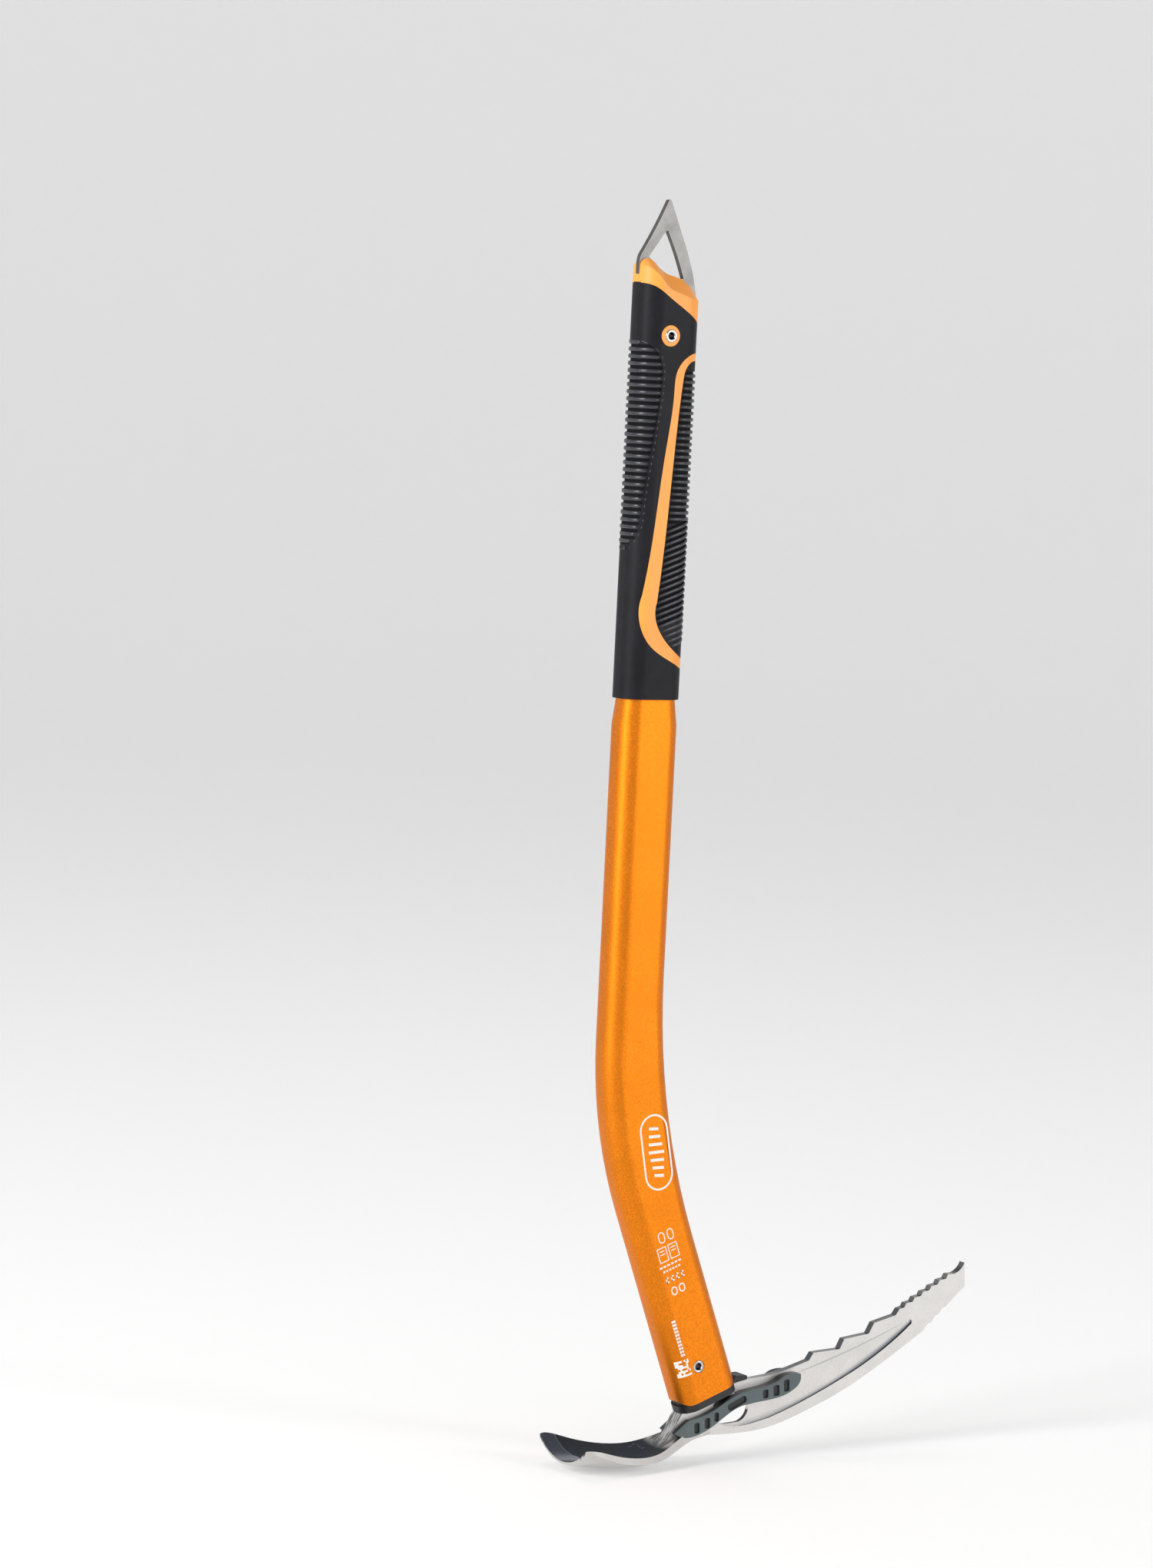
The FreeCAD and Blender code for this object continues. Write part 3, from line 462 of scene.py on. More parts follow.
def evaluated_copy(worker):
    """Mesh of a working object with its modifiers applied; the worker is removed."""
    bpy.context.view_layer.update()
    graph = bpy.context.evaluated_depsgraph_get()
    mesh = bpy.data.meshes.new_from_object(worker.evaluated_get(graph), depsgraph=graph)
    bpy.data.objects.remove(worker)
    return mesh


SAME_POINT = 2e-7                 # metres
FLAT_ANGLE = math.radians(0.4)
SHARP_ANGLE = math.radians(34.0)


def merged_mesh(node):
    """Copy of a CAD node's mesh with its loose triangles joined and flats made whole."""
    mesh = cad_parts[node].data.copy()
    shell = bmesh.new()
    shell.from_mesh(mesh)
    bmesh.ops.remove_doubles(shell, verts=shell.verts, dist=SAME_POINT)
    bmesh.ops.dissolve_limit(
        shell, angle_limit=FLAT_ANGLE, verts=shell.verts, edges=shell.edges, use_dissolve_boundaries=False)
    for face in shell.faces:
        face.smooth = True
    shell.to_mesh(mesh)
    shell.free()
    if "custom_normal" in mesh.attributes:
        mesh.attributes.remove(mesh.attributes["custom_normal"])
    return mesh


def rounded_copy(node, width, segments=2, angle=32.0):
    """The node's shape with its sharp edges rounded, and those edges marked for wear and painted highlight.
    """
    mesh = merged_mesh(node)
    set_materials(mesh, None, None)
    worker = worker_with(mesh)
    bevel = worker.modifiers.new("edges", "BEVEL")
    bevel.width = width
    bevel.segments = segments
    bevel.limit_method = "ANGLE"
    bevel.angle_limit = math.radians(angle)
    bevel.use_clamp_overlap = True
    bevel.miter_outer = "MITER_ARC"
    bevel_material = 1
    bevel.material = bevel_material
    result = evaluated_copy(worker)
    mark_edges(result, [float(polygon.material_index == bevel_material) for polygon in result.polygons])
    result.shade_smooth()
    result.set_sharp_from_angle(angle=SHARP_ANGLE)
    worker = worker_with(result)
    weighted = worker.modifiers.new("flats", "WEIGHTED_NORMAL")
    weighted.keep_sharp = True
    weighted.weight = 80
    return evaluated_copy(worker)


def rounded_piece(name, node, width, material, slot, segments=2, angle=32.0):
    return piece_from(name, rounded_copy(node, width, segments, angle), material, slot, node)


# ---------------------------------------------------------------- beads swept along guides

def sweep_tree():
    """Geometry tree: a rounded bead along every guide line, tapered into the surface at its ends."""
    tree = bpy.data.node_groups.new("swept_beads", "GeometryNodeTree")
    face = tree.interface
    face.new_socket("Guides", in_out="INPUT", socket_type="NodeSocketGeometry")
    for name, value in (("Width", 2.0 * MM), ("Height", 0.6 * MM), ("Spacing", 0.5 * MM), ("Taper", 0.08)):
        face.new_socket(name, in_out="INPUT", socket_type="NodeSocketFloat").default_value = value
    face.new_socket("Sides", in_out="INPUT", socket_type="NodeSocketInt").default_value = 10
    face.new_socket("Material", in_out="INPUT", socket_type="NodeSocketMaterial")
    face.new_socket("Beads", in_out="OUTPUT", socket_type="NodeSocketGeometry")
    graph = Graph(tree)
    entry = tree.nodes.new("NodeGroupInput")
    given = {socket.name: Wire(graph, socket) for socket in entry.outputs if socket.name}
    curves = graph.node("GeometryNodeMeshToCurve", inputs={0: given["Guides"]})
    curves = graph.node(
        "GeometryNodeResampleCurve", {"mode": "LENGTH"}, {"Curve": curves, "Length": given["Spacing"]})
    curves = graph.node("GeometryNodeSetCurveNormal", {"mode": "Z_UP"}, {"Curve": curves})
    along = graph.node("GeometryNodeSplineParameter", output="Factor")
    from_end = along.least(1.0 - along) / given["Taper"]
    radius = from_end.clamped() ** 0.5 * 0.96 + 0.04
    curves = graph.node("GeometryNodeSetCurveRadius", inputs={"Curve": curves, "Radius": radius})
    ring_inputs = {"Resolution": given["Sides"], "Radius": 0.5}
    ring = graph.node("GeometryNodeCurvePrimitiveCircle", inputs=ring_inputs)
    stretch = graph.node(
        "ShaderNodeCombineXYZ", inputs={"X": given["Height"], "Y": given["Width"], "Z": 1.0})
    profile = graph.node("GeometryNodeTransform", inputs={"Geometry": ring, "Scale": stretch})
    beads = graph.node("GeometryNodeCurveToMesh", inputs={
        "Curve": curves, "Profile Curve": profile, "Scale": radius, "Fill Caps": True})
    beads = graph.node("GeometryNodeSetShadeSmooth", inputs={"Geometry": beads})
    beads = graph.node("GeometryNodeRealizeInstances", inputs={"Geometry": beads})
    beads = graph.node("GeometryNodeSetMaterial", inputs={"Geometry": beads, "Material": given["Material"]})
    leave = tree.nodes.new("NodeGroupOutput")
    tree.links.new(beads.socket, leave.inputs[0])
    return tree


BEAD_WEAR = 0.35


def swept_mesh(tree, guides, material, **sizes):
    """Plain mesh of beads along the guide lines, each a list of points in metres."""
    mesh = bpy.data.meshes.new("guides")
    points = []
    edges = []
    for line in guides:
        start = len(points)
        points += [tuple(point) for point in line]
        edges += [(start + step, start + step + 1) for step in range(len(line) - 1)]
    mesh.from_pydata(points, edges, [])
    worker = worker_with(mesh)
    modifier = worker.modifiers.new("beads", "NODES")
    modifier.node_group = tree
    sockets = {item.name: item.identifier for item in tree.interface.items_tree if item.in_out == "INPUT"}
    for name, value in sizes.items():
        modifier[sockets[name]] = value
    modifier[sockets["Material"]] = material
    result = evaluated_copy(worker)
    mark_edges(result, [BEAD_WEAR] * len(result.polygons))
    return result


# ---------------------------------------------------------------- grip

# Borders of the ribbed areas as height and place across the grip; sizes here are in millimetres.
FRONT_BORDER = [
    (421.6, -19.0), (424.0, -17.4), (427.4, -15.6), (434.0, -13.2), (448.0, -12.0), (480.0, -8.4),
    (503.0, -5.8), (511.0, -6.2), (518.0, -9.6), (523.0, -17.0),
]
PANEL_BORDER = [
    (371.0, 24.0), (375.6, 12.0), (379.4, 6.5), (384.6, 1.4), (392.0, -2.8), (401.0, -2.9), (431.3, 0.0),
    (477.8, 3.1), (504.0, 5.4), (510.4, 7.0), (513.6, 10.8), (515.0, 24.0),
]
GROOVE_WIDTH = 1.3
FRONT_FOOT = 423.5                # lowest groove between the front ribs
FRONT_PITCH = 3.3
FRONT_COUNT = 30
PANEL_FOOT = 438.0                # lowest of the panel's level grooves
PANEL_PITCH = 2.9
PANEL_COUNT = 24
SLANT_FOOT = 388.0                # a slanted groove, at SLANT_START
SLANT_NUMBERS = range(-5, 15)     # slanted ribs, counted from that groove
SLANT_START = -8.0
SLANT = math.tan(math.radians(20.0))
RIB_GAP = 0.5                     # between a rib's end and the border


def border_at(border, height):
    """Place of a border across the grip at a height, on a smooth line through its points."""
    heights = np.array([point[0] for point in border])
    places = np.array([point[1] for point in border])
    slopes = np.gradient(places, heights)
    index = int(np.clip(np.searchsorted(heights, height) - 1, 0, len(heights) - 2))
    span = heights[index + 1] - heights[index]
    t = float(np.clip((height - heights[index]) / span, 0.0, 1.0))
    square = t * t
    cube = square * t
    return float(
        (2 * cube - 3 * square + 1) * places[index]
        + (cube - 2 * square + t) * span * slopes[index]
        + (3 * square - 2 * cube) * places[index + 1]
        + (cube - square) * span * slopes[index + 1])


def round_grip(x, side, out):
    """Point of the grip's section at a place across it, in metres; side is -1 left, 1 right."""
    middle = GRIP_HALF_WIDTH - GRIP_ROUND
    beyond = min(max(abs(x) - middle, 0.0), GRIP_ROUND)
    depth = GRIP_HALF_DEPTH - GRIP_ROUND + math.sqrt(GRIP_ROUND ** 2 - beyond ** 2)
    normal = Vector((math.copysign(beyond, x), side * math.sqrt(GRIP_ROUND ** 2 - beyond ** 2), 0.0))
    normal.normalize()
    return Vector((x, side * depth, 0.0)) + normal * out


def rib_line(start, end, height_at, out):
    """Guide from a border on the left side, round the narrow face at end, to the right side."""
    sweep = 1.0 if end > start else -1.0
    middle = end - sweep * GRIP_ROUND
    if (start - middle) * sweep > 0:
        first = math.asin(min(abs(start - middle) / GRIP_ROUND, 0.98))
        angles = np.linspace(first, math.pi / 2.0, 9)
        flat = []
    else:
        angles = np.linspace(0.0, math.pi / 2.0, 11)
        flat = np.linspace(start, middle, 6)[:-1]
    half = [round_grip(x, -1, out) for x in flat]
    half += [round_grip(middle + sweep * GRIP_ROUND * math.sin(angle), -1, out) for angle in angles]
    line = half + [Vector((point.x, -point.y, 0.0)) for point in reversed(half)]
    return [Vector((point.x, point.y, CROWN + height_at(point.x / MM) * MM)) for point in line]


def rib_middle(foot, pitch, number):
    """Height of the middle of a rib, between one groove and the next."""
    return foot + GROOVE_WIDTH + (pitch - GROOVE_WIDTH) / 2.0 + pitch * number


def front_rib_lines(sizes):
    lines = []
    for number in range(FRONT_COUNT):
        height = rib_middle(FRONT_FOOT, FRONT_PITCH, number)
        start = (border_at(FRONT_BORDER, height) - RIB_GAP) * MM
        lines.append(rib_line(start, -GRIP_HALF_WIDTH, lambda x, level=height: level, sizes.rib_seat))
    return lines


def slanted_start(height_at):
    """Where a slanted rib meets the panel's border, approached by half steps."""
    start = 0.0
    for _ in range(30):
        at_border = border_at(PANEL_BORDER, height_at(start)) + RIB_GAP
        start = 0.5 * start + 0.5 * at_border
    return start


def panel_rib_lines(sizes):
    """Level ribs in the panel's upper part, slanted ones below; stubs at the narrow face are left out."""
    lines = []
    for number in range(PANEL_COUNT):
        height = rib_middle(PANEL_FOOT, PANEL_PITCH, number)
        start = (border_at(PANEL_BORDER, height) + RIB_GAP) * MM
        if start < GRIP_HALF_WIDTH - 0.8 * MM:
            lines.append(rib_line(start, GRIP_HALF_WIDTH, lambda x, level=height: level, sizes.rib_seat))
    for number in SLANT_NUMBERS:
        foot = rib_middle(SLANT_FOOT, PANEL_PITCH, number)

        def height_at(x, foot=foot):
            return foot + SLANT * (x - SLANT_START)

        start = slanted_start(height_at) * MM
        if start < GRIP_HALF_WIDTH - 1.2 * MM:
            lines.append(rib_line(start, GRIP_HALF_WIDTH, height_at, sizes.rib_seat))
    return lines


def border_beads(sizes):
    """Short raised dashes beside the ends of the front ribs, one to each rib, on both sides."""
    lines = []
    dash_length = 1.6
    dash_gap = 0.75               # from the border
    for number in range(FRONT_COUNT):
        foot = FRONT_FOOT + GROOVE_WIDTH + 0.2 + FRONT_PITCH * number
        for side in (-1, 1):
            line = []
            for step in range(4):
                height = foot + dash_length * step / 3
                x = (border_at(FRONT_BORDER, height) + dash_gap) * MM
                point = round_grip(max(x, -GRIP_HALF_WIDTH + 0.5 * MM), side, sizes.bead_seat)
                line.append(Vector((point.x, point.y, CROWN + height * MM)))
            lines.append(line)
    return lines


# ---------------------------------------------------------------- print on the shaft

BEND_HEIGHT = 156 * MM
LOWER_LEAN = math.radians(21.0)
LOWER_HALF_WIDTH = 16.2 * MM
TUBE_ROUND = 8.5 * MM
FILM = 0.04 * MM                  # the print's reach above and below the surface


# Marks of the print, in millimetres; places are u and v as on_shaft takes them.
BADGE_MIDDLE = (6.5, 18.0)
BADGE_TILT = math.radians(10.0)
BADGE_RING = ((37.0, 15.4), (35.2, 13.6))     # length and width, outer and inner
BADGE_PITCH = 3.8                 # from one of its bars to the next
UPPER_RINGS = ((-3.3, 58.2), (1.7, 58.2))
FRAMES = ((-5.1, 66.4), (1.1, 66.4))
DASH_ROWS = ((72.2, 13.0), (74.6, 10.4))      # level and whole width
DASH_MIDDLE = -2.6
STROKES_START = (-6.4, 79.1)
STROKES_PITCH = 2.9
LOWER_RINGS = ((-4.4, 85.4), (0.0, 85.4))
LADDER_START = (-9.4, 99.6)
LADDER_PITCH = 1.75
SQUARES_START = (-13.6, 120.0)
SQUARES_PITCH = (0.82, 1.05)


def on_shaft(u, v, out):
    """Point on the left side of the shaft below its bend: u towards the pick, v down, in millimetres."""
    down = Vector((math.sin(LOWER_LEAN), 0.0, -math.cos(LOWER_LEAN)))
    across = Vector((math.cos(LOWER_LEAN), 0.0, math.sin(LOWER_LEAN)))
    beyond = max(abs(u) * MM - (LOWER_HALF_WIDTH - TUBE_ROUND), 0.0)
    rise = math.sqrt(TUBE_ROUND ** 2 - beyond ** 2)
    normal = (across * math.copysign(beyond, u) + Vector((0.0, -rise, 0.0))).normalized()
    bend_point = Vector((0.0, SHAFT_FLAT + TUBE_ROUND - rise, CROWN + BEND_HEIGHT))
    return bend_point + across * (u * MM) + down * (v * MM) + normal * out


def on_flat(u, v, out):
    """Like on_shaft, beside the bend, where the flat reaches further towards the pick."""
    middle = on_shaft(0.0, v, out)
    return middle + Vector((math.cos(LOWER_LEAN), 0.0, math.sin(LOWER_LEAN))) * (u * MM)


def strip(shell, outline, place):
    """Thin closed film with the given outline in millimetres."""
    front = [shell.verts.new(place(u, v, FILM)) for u, v in outline]
    back = [shell.verts.new(place(u, v, -FILM)) for u, v in outline]
    shell.faces.new(front)
    shell.faces.new(list(reversed(back)))
    for step in range(len(outline)):
        after = (step + 1) % len(outline)
        shell.faces.new([front[step], back[step], back[after], front[after]])


def ring_strip(shell, outer, inner, place):
    """Thin closed band between two outlines of the same number of points."""
    rows = [[shell.verts.new(place(u, v, out)) for u, v in outline]
            for outline, out in ((outer, FILM), (inner, FILM), (inner, -FILM), (outer, -FILM))]
    for step in range(len(outer)):
        after = (step + 1) % len(outer)
        for first, second in ((0, 1), (1, 2), (2, 3), (3, 0)):
            shell.faces.new([rows[first][step], rows[first][after], rows[second][after], rows[second][step]])


def stadium(length, width, count=12):
    """Outline of an upright stadium shape about the origin."""
    radius = width / 2.0
    reach = length / 2.0 - radius
    top = [(radius * math.cos(math.pi * k / count), reach + radius * math.sin(math.pi * k / count))
           for k in range(count + 1)]
    return top + [(-u, -v) for u, v in top]


def bar(u, v, width, height):
    return [(u - width / 2, v - height / 2), (u + width / 2, v - height / 2),
            (u + width / 2, v + height / 2), (u - width / 2, v + height / 2)]


def print_badge(shell):
    """Upright oval ring round seven slanted bars, leaning with the shaft."""

    def place(u, v, out):
        turned_u = u * math.cos(BADGE_TILT) - v * math.sin(BADGE_TILT)
        turned_v = u * math.sin(BADGE_TILT) + v * math.cos(BADGE_TILT)
        return on_flat(BADGE_MIDDLE[0] + turned_u, BADGE_MIDDLE[1] + turned_v, out)

    outer, inner = BADGE_RING
    ring_strip(shell, stadium(*outer), stadium(*inner), place)
    for row in range(-3, 4):
        half = (8.4 - 1.1 * abs(row)) / 2
        level = BADGE_PITCH * row
        slanted = [(-half, level - 1.3), (half, level - 0.3), (half, level + 1.1), (-half, level + 0.1)]
        strip(shell, slanted, place)


def print_frames(shell):
    """Two frames side by side with two short lines in each."""
    width, height, line = 5.2, 7.4, 0.45
    for u, v in FRAMES:
        inside = bar(u, v, width - 2 * line, height - 2 * line)
        ring_strip(shell, bar(u, v, width, height), inside, on_shaft)
        for shift in (-1.8, -0.2):
            strip(shell, bar(u, v + shift, 2.6, 0.5), on_shaft)


def print_rings(shell, middles, outer, inner):
    """Small ovals at the given places."""
    for middle_u, middle_v in middles:

        def place(u, v, out, middle_u=middle_u, middle_v=middle_v):
            return on_shaft(middle_u + u, middle_v + v, out)

        ring_strip(shell, stadium(*outer, 8), stadium(*inner, 8), place)


def print_dashes(shell):
    """Two rows of six dashes."""
    for level, width in DASH_ROWS:
        for dash in range(6):
            middle = DASH_MIDDLE + (dash - 2.5) * width / 6
            strip(shell, bar(middle, level, width / 6 - 0.7, 0.9), on_shaft)


def print_strokes(shell):
    """Row of small upright strokes, each with a short arm above and below."""
    start, level = STROKES_START
    for stroke in range(4):
        middle = start + stroke * STROKES_PITCH
        for shift in (-1.1, 1.1):
            strip(shell, bar(middle, level + shift, 1.6, 0.7), on_shaft)
        strip(shell, bar(middle - 0.5, level, 0.55, 2.9), on_shaft)


def print_ladder(shell):
    """Short level bars down the edge of the flat."""
    for step in range(11):
        strip(shell, bar(LADDER_START[0], LADDER_START[1] + step * LADDER_PITCH, 2.0, 1.15), on_shaft)


def print_squares(shell):
    """Patch of small squares scattered on an eight by eight grid."""
    filled = np.random.default_rng(7).random((8, 8)) > 0.45
    for row in range(8):
        for column in range(8):
            if filled[row, column] or row in (0, 7) and column % 2:
                u = SQUARES_START[0] + column * SQUARES_PITCH[0]
                v = SQUARES_START[1] + row * SQUARES_PITCH[1]
                strip(shell, bar(u, v, 0.8, 1.0), on_shaft)


# ---------------------------------------------------------------- settings

def colour_setting(name, description, default):
    return FloatVectorProperty(
        name=name, description=description, default=default, subtype="COLOR", size=3, min=0.0, max=1.0)


def length_setting(name, description, default):
    return FloatProperty(name=name, description=description, default=default, unit="LENGTH", precision=5)


class AxeColours(bpy.types.PropertyGroup):
    anodised: colour_setting("Anodised", "Anodised orange of the shaft", (0.82, 0.225, 0.008))
    plastic: colour_setting("Orange plastic", "Cap, stripe and rivet seats", (0.98, 0.36, 0.055))
    rubber: colour_setting("Rubber", "Sleeve and panel of the grip", (0.0095, 0.0095, 0.0125))
    steel: colour_setting("Steel", "Bare steel of the head and spike", (0.58, 0.565, 0.55))
    # Colour of painted shade and painted dark reflection on the steel: the adze's scoop, the neck, the
    # recess and its walls, the tooth side.
    steel_shade_and_reflection: colour_setting("Dark steel", "Coated inside of the adze", (0.010, 0.015, 0.022))
    ground_steel: colour_setting("Ground steel", "Ground strip along the adze's edge", (0.085, 0.105, 0.145))
    trim: colour_setting("Trim", "Grey face of the hub trim", (0.085, 0.110, 0.115))
    black: colour_setting("Black plastic", "Insert and trim bodies", (0.006, 0.0065, 0.008))
    print_white: colour_setting("Print", "Marks printed on the shaft", (0.82, 0.80, 0.76))
    floor: colour_setting("Floor", "Studio floor and wall", (0.80, 0.80, 0.80))


class AxeSizes(bpy.types.PropertyGroup):
    steel_edge: length_setting("Steel edges", "Rounding of the forging's edges", 0.35 * MM)
    plastic_edge: length_setting("Insert edges", "Rounding of the insert's edges", 0.45 * MM)
    rubber_edge: length_setting("Rubber edges", "Rounding of the rubber's edges", 0.22 * MM)
    tube_edge: length_setting("Tube and spike edges", "Rounding of the tube's and spike's edges", 0.25 * MM)
    small_edge: length_setting("Trim edges", "Rounding of the trim's and plug's edges", 0.3 * MM)
    cap_edge: length_setting("Cap edges", "Rounding of the cap's edges", 0.6 * MM)
    rivet_edge: length_setting("Rivet edges", "Rounding of the rivets' edges", 0.12 * MM)
    seat_edge: length_setting("Seat edges", "Rounding of the rivet seats' edges", 0.2 * MM)
    rib_seat: length_setting("Rib seat", "Middle of a rib's crown above the grip", -0.15 * MM)
    rib_height: length_setting("Rib height", "Full height of a rib's rounded crown", 1.2 * MM)
    front_rib_width: length_setting("Front rib width", "Along the grip", 2.1 * MM)
    panel_rib_width: length_setting("Panel rib width", "Along the grip", 1.7 * MM)
    bead_seat: length_setting("Bead seat", "Middle of a border dash above the grip", 0.05 * MM)
    bead_width: length_setting("Bead width", "Thickness of a border dash", 0.7 * MM)


class AxeStudio(bpy.types.PropertyGroup):
    place: FloatVectorProperty(
        name="Camera place", description="Where the camera is", unit="LENGTH",
        default=(-1.3616, -2.2049, -0.0209))
    yaw: FloatProperty(name="Yaw", description="Turn of the camera", default=0.5365776, subtype="ANGLE")
    pitch: FloatProperty(
        name="Pitch", description="Camera's look downwards", default=0.1166119, subtype="ANGLE")
    lean: FloatProperty(
        name="Lean", description="Lean of the axe", default=math.radians(3.24), subtype="ANGLE")
    lens: FloatProperty(name="Lens", description="Focal length in millimetres", default=127.34)
    key_power: FloatProperty(name="Key", description="Softbox on the left, in watts", default=58.0)
    fill_power: FloatProperty(name="Fill", description="Softbox on the right, in watts", default=22.0)
    top_power: FloatProperty(name="Top", description="Overhead softbox, in watts", default=14.0)
    sky: FloatProperty(name="Room light", description="Strength of the room's own light", default=0.30)


# ---------------------------------------------------------------- operators

class AXE_OT_shaft(bpy.types.Operator):
    """Finish the anodised tube"""
    bl_idname = "ice_axe.shaft"
    bl_label = "Shaft"

    def execute(self, context):
        scene = context.scene
        finish = anodised_finish(scene.ice_axe_colours)
        rounded_piece("shaft", "shaft_tube", scene.ice_axe_sizes.tube_edge, finish, "anodised_tube")
        return {"FINISHED"}


class AXE_OT_shaft_print(bpy.types.Operator):
    """Add the plain white marks on the shaft"""
    bl_idname = "ice_axe.shaft_print"
    bl_label = "Shaft print"

    def execute(self, context):
        colours = context.scene.ice_axe_colours
        shell = bmesh.new()
        print_badge(shell)
        print_frames(shell)
        print_rings(shell, UPPER_RINGS, outer=(5.6, 3.6), inner=(4.6, 2.6))
        print_dashes(shell)
        print_strokes(shell)
        print_rings(shell, LOWER_RINGS, outer=(4.4, 3.4), inner=(3.2, 2.2))
        print_ladder(shell)
        print_squares(shell)
        mesh = bpy.data.meshes.new("shaft_print")
        bmesh.ops.recalc_face_normals(shell, faces=shell.faces)
        shell.to_mesh(mesh)
        shell.free()
        piece_from("shaft_print", mesh, print_finish(colours), "anodised_tube")
        return {"FINISHED"}


class AXE_OT_head(bpy.types.Operator):
    """Finish the forged head"""
    bl_idname = "ice_axe.head"
    bl_label = "Head"

    def execute(self, context):
        scene = context.scene
        finish = forged_finish(scene.ice_axe_colours)
        rounded_piece("head_forging", "head", scene.ice_axe_sizes.steel_edge, finish, "forged_steel")
        return {"FINISHED"}


class AXE_OT_trim(bpy.types.Operator):
    """Finish the insert and the trim on both sides of the hub"""
    bl_idname = "ice_axe.trim"
    bl_label = "Insert and trim"

    def execute(self, context):
        colours = context.scene.ice_axe_colours
        sizes = context.scene.ice_axe_sizes
        black = moulded_finish("black_plastic", colours.black, 0.42, 0.3 * MM, 0.03 * MM)
        grey = moulded_finish("grey_plastic", colours.trim, 0.50, 0.3 * MM, 0.03 * MM)
        rounded_piece("insert", "head_insert", sizes.plastic_edge, black, "insert_plastic")
        for hand in ("left", "right"):
            rounded_piece("trim_body_" + hand, "trim_base_" + hand, sizes.small_edge, black, "trim_black")
            rounded_piece("trim_plate_" + hand, "trim_face_" + hand, sizes.small_edge, grey, "trim_grey")
        return {"FINISHED"}


class AXE_OT_grip(bpy.types.Operator):
    """Finish the sleeve, the panel and the core of the grip"""
    bl_idname = "ice_axe.grip"
    bl_label = "Grip"

    def execute(self, context):
        colours = context.scene.ice_axe_colours
        sizes = context.scene.ice_axe_sizes
        rubber = grip_finish("grip_rubber", colours, 0.16)
        polished = grip_finish("grip_rubber_of_ribs", colours, 0.55)
        orange = orange_finish("orange_plastic", colours, 0.42, 0.4 * MM)
        rounded_piece("sleeve", "grip_sleeve", sizes.rubber_edge, rubber, "grip_black")
        rounded_piece("panel", "grip_panel", sizes.rubber_edge, rubber, "grip_black")
        rounded_piece("stripe", "grip_core", sizes.rubber_edge, orange, "grip_orange")
        tree = sweep_tree()
        ribs = swept_mesh(
            tree, front_rib_lines(sizes), polished, Width=sizes.front_rib_width, Height=sizes.rib_height)
        piece_from("front_ribs", ribs, polished, "grip_black")
        ribs = swept_mesh(
            tree, panel_rib_lines(sizes), polished, Width=sizes.panel_rib_width, Height=sizes.rib_height)
        piece_from("panel_ribs", ribs, polished, "grip_black")
        beads = swept_mesh(
            tree, border_beads(sizes), polished, Width=sizes.bead_width, Height=sizes.bead_width, Taper=0.2,
            Spacing=0.3 * MM, Sides=8)
        piece_from("border_dashes", beads, polished, "grip_black")
        return {"FINISHED"}


class AXE_OT_spike(bpy.types.Operator):
    """Finish the spike, its cap and its plug"""
    bl_idname = "ice_axe.spike"
    bl_label = "Spike and cap"

    def execute(self, context):
        colours = context.scene.ice_axe_colours
        sizes = context.scene.ice_axe_sizes
        rounded_piece("spike_blade", "spike", sizes.tube_edge, spike_finish(colours), "spike_steel")
        cap = orange_finish("cap_plastic", colours, 0.40, 0.4 * MM)
        rounded_piece("cap", "spike_cap", sizes.cap_edge, cap, "cap_orange", segments=3, angle=24.0)
        plug = moulded_finish("plug_plastic", colours.black, 0.5, 0.4 * MM, 0.03 * MM)
        rounded_piece("plug", "spike_plug", sizes.small_edge, plug, "plug_plastic")
        return {"FINISHED"}


class AXE_OT_rivets(bpy.types.Operator):
    """Finish the rivets and their seats"""
    bl_idname = "ice_axe.rivets"
    bl_label = "Rivets"

    def execute(self, context):
        colours = context.scene.ice_axe_colours
        sizes = context.scene.ice_axe_sizes
        plated = rivet_finish(colours)
        orange = orange_finish("seat_plastic", colours, 0.40, 0.3 * MM)
        rounded_piece("rivet_of_head", "head_rivet", sizes.rivet_edge, plated, "rivet_steel")
        rounded_piece("rivet_of_spike", "spike_rivet", sizes.rivet_edge, plated, "rivet_steel")
        for hand in ("left", "right"):
            rounded_piece("seat_" + hand, "rivet_seat_" + hand, sizes.seat_edge, orange, "cap_orange")
        return {"FINISHED"}


class AXE_OT_stage(bpy.types.Operator):
    """Set up the pale floor, the soft lights and the camera"""
    bl_idname = "ice_axe.stage"
    bl_label = "Stage"

    def execute(self, context):
        studio = context.scene.ice_axe_studio
        context.scene.view_settings.view_transform = "Standard"
        make_floor(context.scene.ice_axe_colours, CAD_BOUNDS[0][2] - FLOOR_GAP)
        make_lights(studio)
        make_camera(studio)
        return {"FINISHED"}


FLOOR_GAP = 1 * MM                # below the lowest point of the axe
FLOOR_FLAT = 4.5                  # radius of the level part, in metres
FLOOR_CURVE = 2.5                 # radius of the curve up to the wall
WALL_TOP = 4.5
FLOOR_SIDES = 96


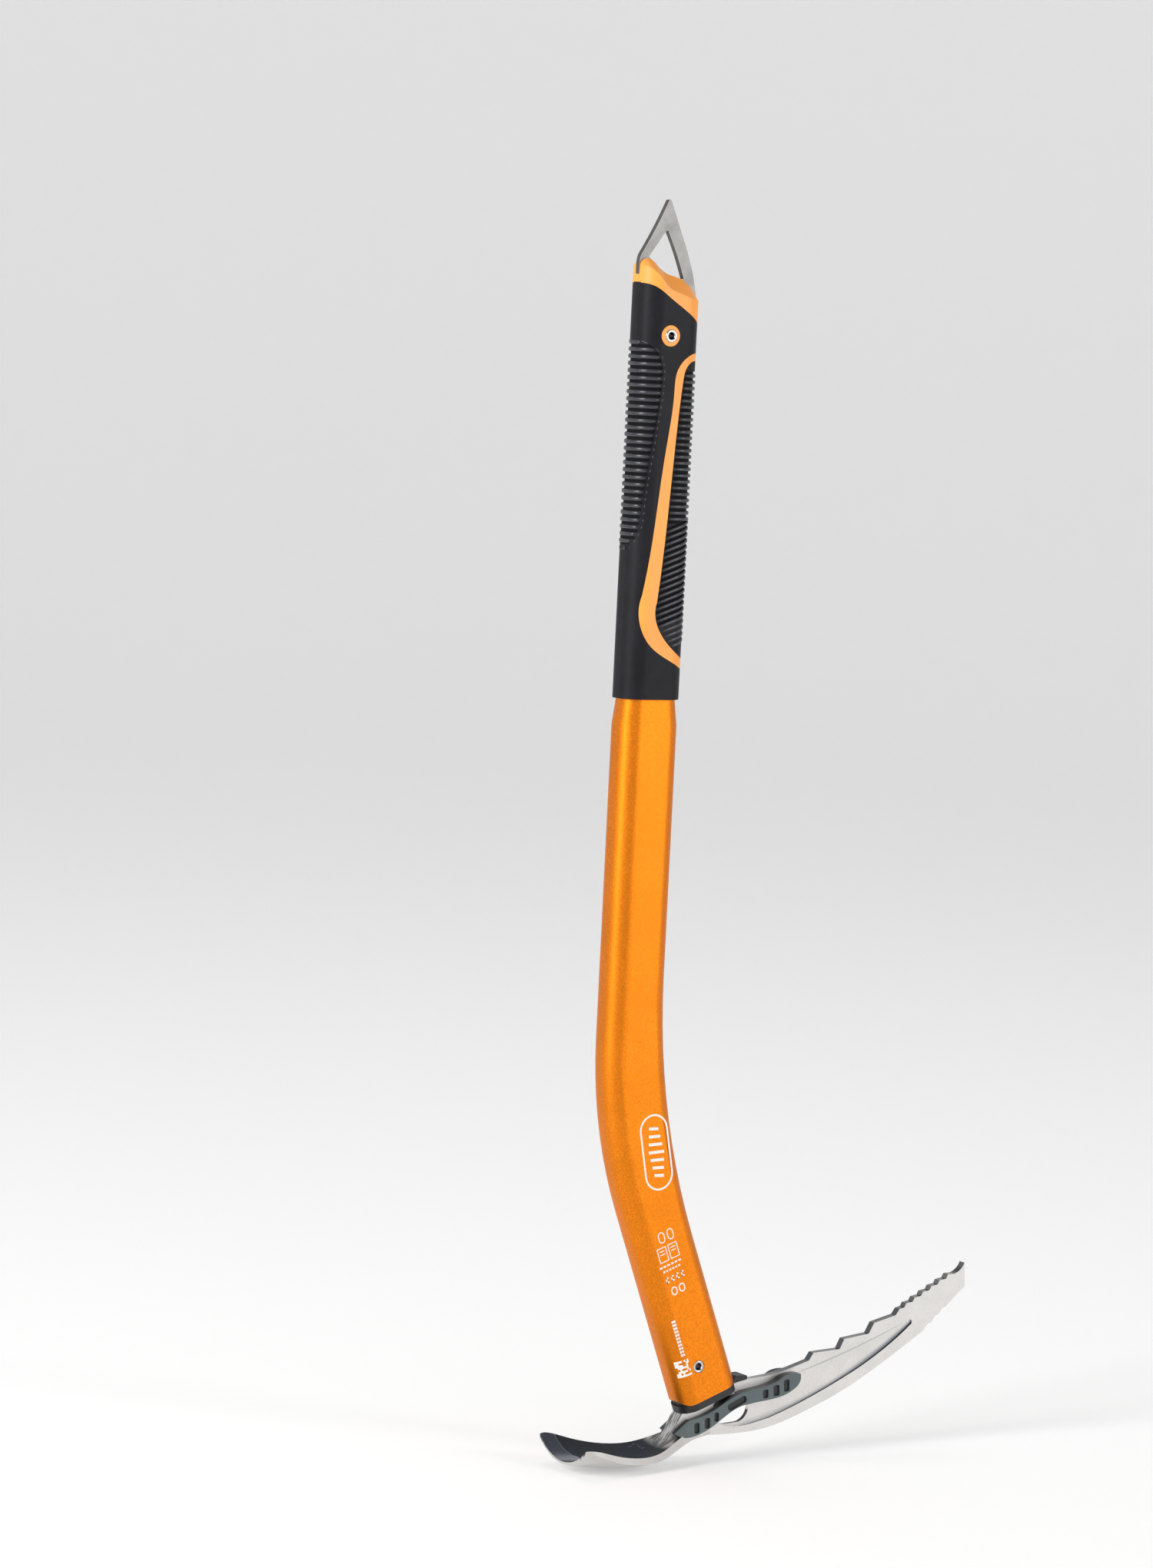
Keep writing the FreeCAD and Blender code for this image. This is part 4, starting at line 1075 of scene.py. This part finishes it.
def make_floor(colours, height):
    """Round floor that curves up into a wall on every side."""
    shell = bmesh.new()
    profile = [(FLOOR_FLAT / 3, 0.0), (FLOOR_FLAT, 0.0)]
    for angle in np.linspace(0.1, math.pi / 2, 12):
        profile.append((FLOOR_FLAT + FLOOR_CURVE * math.sin(angle), FLOOR_CURVE * (1.0 - math.cos(angle))))
    profile.append((FLOOR_FLAT + FLOOR_CURVE, WALL_TOP))
    turns = [2 * math.pi * side / FLOOR_SIDES for side in range(FLOOR_SIDES)]
    previous = [shell.verts.new((0.0, 0.0, height))]
    for radius, rise in profile:
        places = [(radius * math.cos(turn), radius * math.sin(turn), height + rise) for turn in turns]
        ring = [shell.verts.new(place) for place in places]
        for k in range(FLOOR_SIDES):
            after = (k + 1) % FLOOR_SIDES
            if len(previous) == 1:
                shell.faces.new([previous[0], ring[k], ring[after]])
            else:
                shell.faces.new([previous[k], ring[k], ring[after], previous[after]])
        previous = ring
    for face in shell.faces:
        face.smooth = True
    mesh = bpy.data.meshes.new("studio_floor")
    shell.to_mesh(mesh)
    shell.free()
    floor = bpy.data.objects.new("studio_floor", mesh)
    bpy.context.scene.collection.objects.link(floor)
    finish = Finish("studio_paint", Emission_Color=(1.0, 1.0, 1.0, 1.0), Emission_Strength=0.27)
    patch = finish.noise(0.9, 2.0)
    finish.feed("Base Color", finish.blend(patch, paint(colours.floor, 0.99), paint(colours.floor, 1.01)))
    finish.feed("Roughness", 0.85 + patch * 0.05)
    mesh.materials.append(finish.material)


def make_lights(studio):
    """Three softboxes and an even room light."""
    aim = Vector((0.03, 0.0, CROWN + 0.28))      # near the middle of the shaft
    boxes = (
        ("key", (-2.6, -0.5, 0.7), 0.8, 1.8, studio.key_power),
        ("fill", (1.6, -2.3, 0.3), 0.7, 1.6, studio.fill_power),
        ("top", (0.2, 0.6, 2.2), 2.0, 2.0, studio.top_power),
    )
    for name, place, width, height, power in boxes:
        data = bpy.data.lights.new("softbox_" + name, "AREA")
        data.shape = "RECTANGLE"
        data.size = width
        data.size_y = height
        data.energy = power
        lamp = bpy.data.objects.new("softbox_" + name, data)
        bpy.context.scene.collection.objects.link(lamp)
        lamp.location = place
        lamp.rotation_euler = (aim - Vector(place)).to_track_quat("-Z", "Y").to_euler()
    world = bpy.data.worlds.new("room")
    bpy.context.scene.world = world
    world.use_nodes = True
    background = world.node_tree.nodes["Background"]
    background.inputs["Color"].default_value = (1.0, 1.0, 1.0, 1.0)
    background.inputs["Strength"].default_value = studio.sky


def make_camera(studio):
    """Camera that sees the left flat and the narrow adze side, a little from above."""
    yaw, pitch, lean = studio.yaw, studio.pitch, studio.lean
    forward = Vector((math.sin(yaw) * math.cos(pitch), math.cos(yaw) * math.cos(pitch), -math.sin(pitch)))
    right = Vector((math.cos(yaw), -math.sin(yaw), 0.0))
    up = right.cross(forward)
    axes = [Matrix.Rotation(-lean, 3, "Y") @ axis for axis in (right, up, -forward)]
    data = bpy.data.cameras.new("camera")
    data.sensor_fit = "AUTO"
    data.sensor_width = 36.0
    data.lens = studio.lens
    data.clip_end = 50.0
    camera = bpy.data.objects.new("camera", data)
    bpy.context.scene.collection.objects.link(camera)
    turn = Matrix(axes).transposed().to_4x4()
    camera.matrix_world = Matrix.Translation(studio.place) @ turn
    bpy.context.scene.camera = camera


class AXE_PT_panel(bpy.types.Panel):
    """Steps that build the ice axe"""
    bl_label = "Ice axe"
    bl_idname = "AXE_PT_panel"
    bl_space_type = "VIEW_3D"
    bl_region_type = "UI"
    bl_category = "Ice axe"

    def draw(self, context):
        for operator in OPERATORS:
            self.layout.operator(operator.bl_idname)
        scene = context.scene
        for group in (scene.ice_axe_colours, scene.ice_axe_sizes, scene.ice_axe_studio):
            box = self.layout.box()
            for name in group.__annotations__:
                box.prop(group, name)


OPERATORS = (
    AXE_OT_stage, AXE_OT_shaft, AXE_OT_shaft_print, AXE_OT_head, AXE_OT_trim, AXE_OT_grip, AXE_OT_spike,
    AXE_OT_rivets,
)
CLASSES = (AxeColours, AxeSizes, AxeStudio) + OPERATORS + (AXE_PT_panel,)


def register():
    for item in CLASSES:
        bpy.utils.register_class(item)
    bpy.types.Scene.ice_axe_colours = PointerProperty(type=AxeColours)
    bpy.types.Scene.ice_axe_sizes = PointerProperty(type=AxeSizes)
    bpy.types.Scene.ice_axe_studio = PointerProperty(type=AxeStudio)


def unregister():
    del bpy.types.Scene.ice_axe_studio
    del bpy.types.Scene.ice_axe_sizes
    del bpy.types.Scene.ice_axe_colours
    for item in reversed(CLASSES):
        bpy.utils.unregister_class(item)


def main():
    register()
    for operator in OPERATORS:
        group, name = operator.bl_idname.split(".")
        getattr(getattr(bpy.ops, group), name)()


if __name__ == "__main__":
    main()
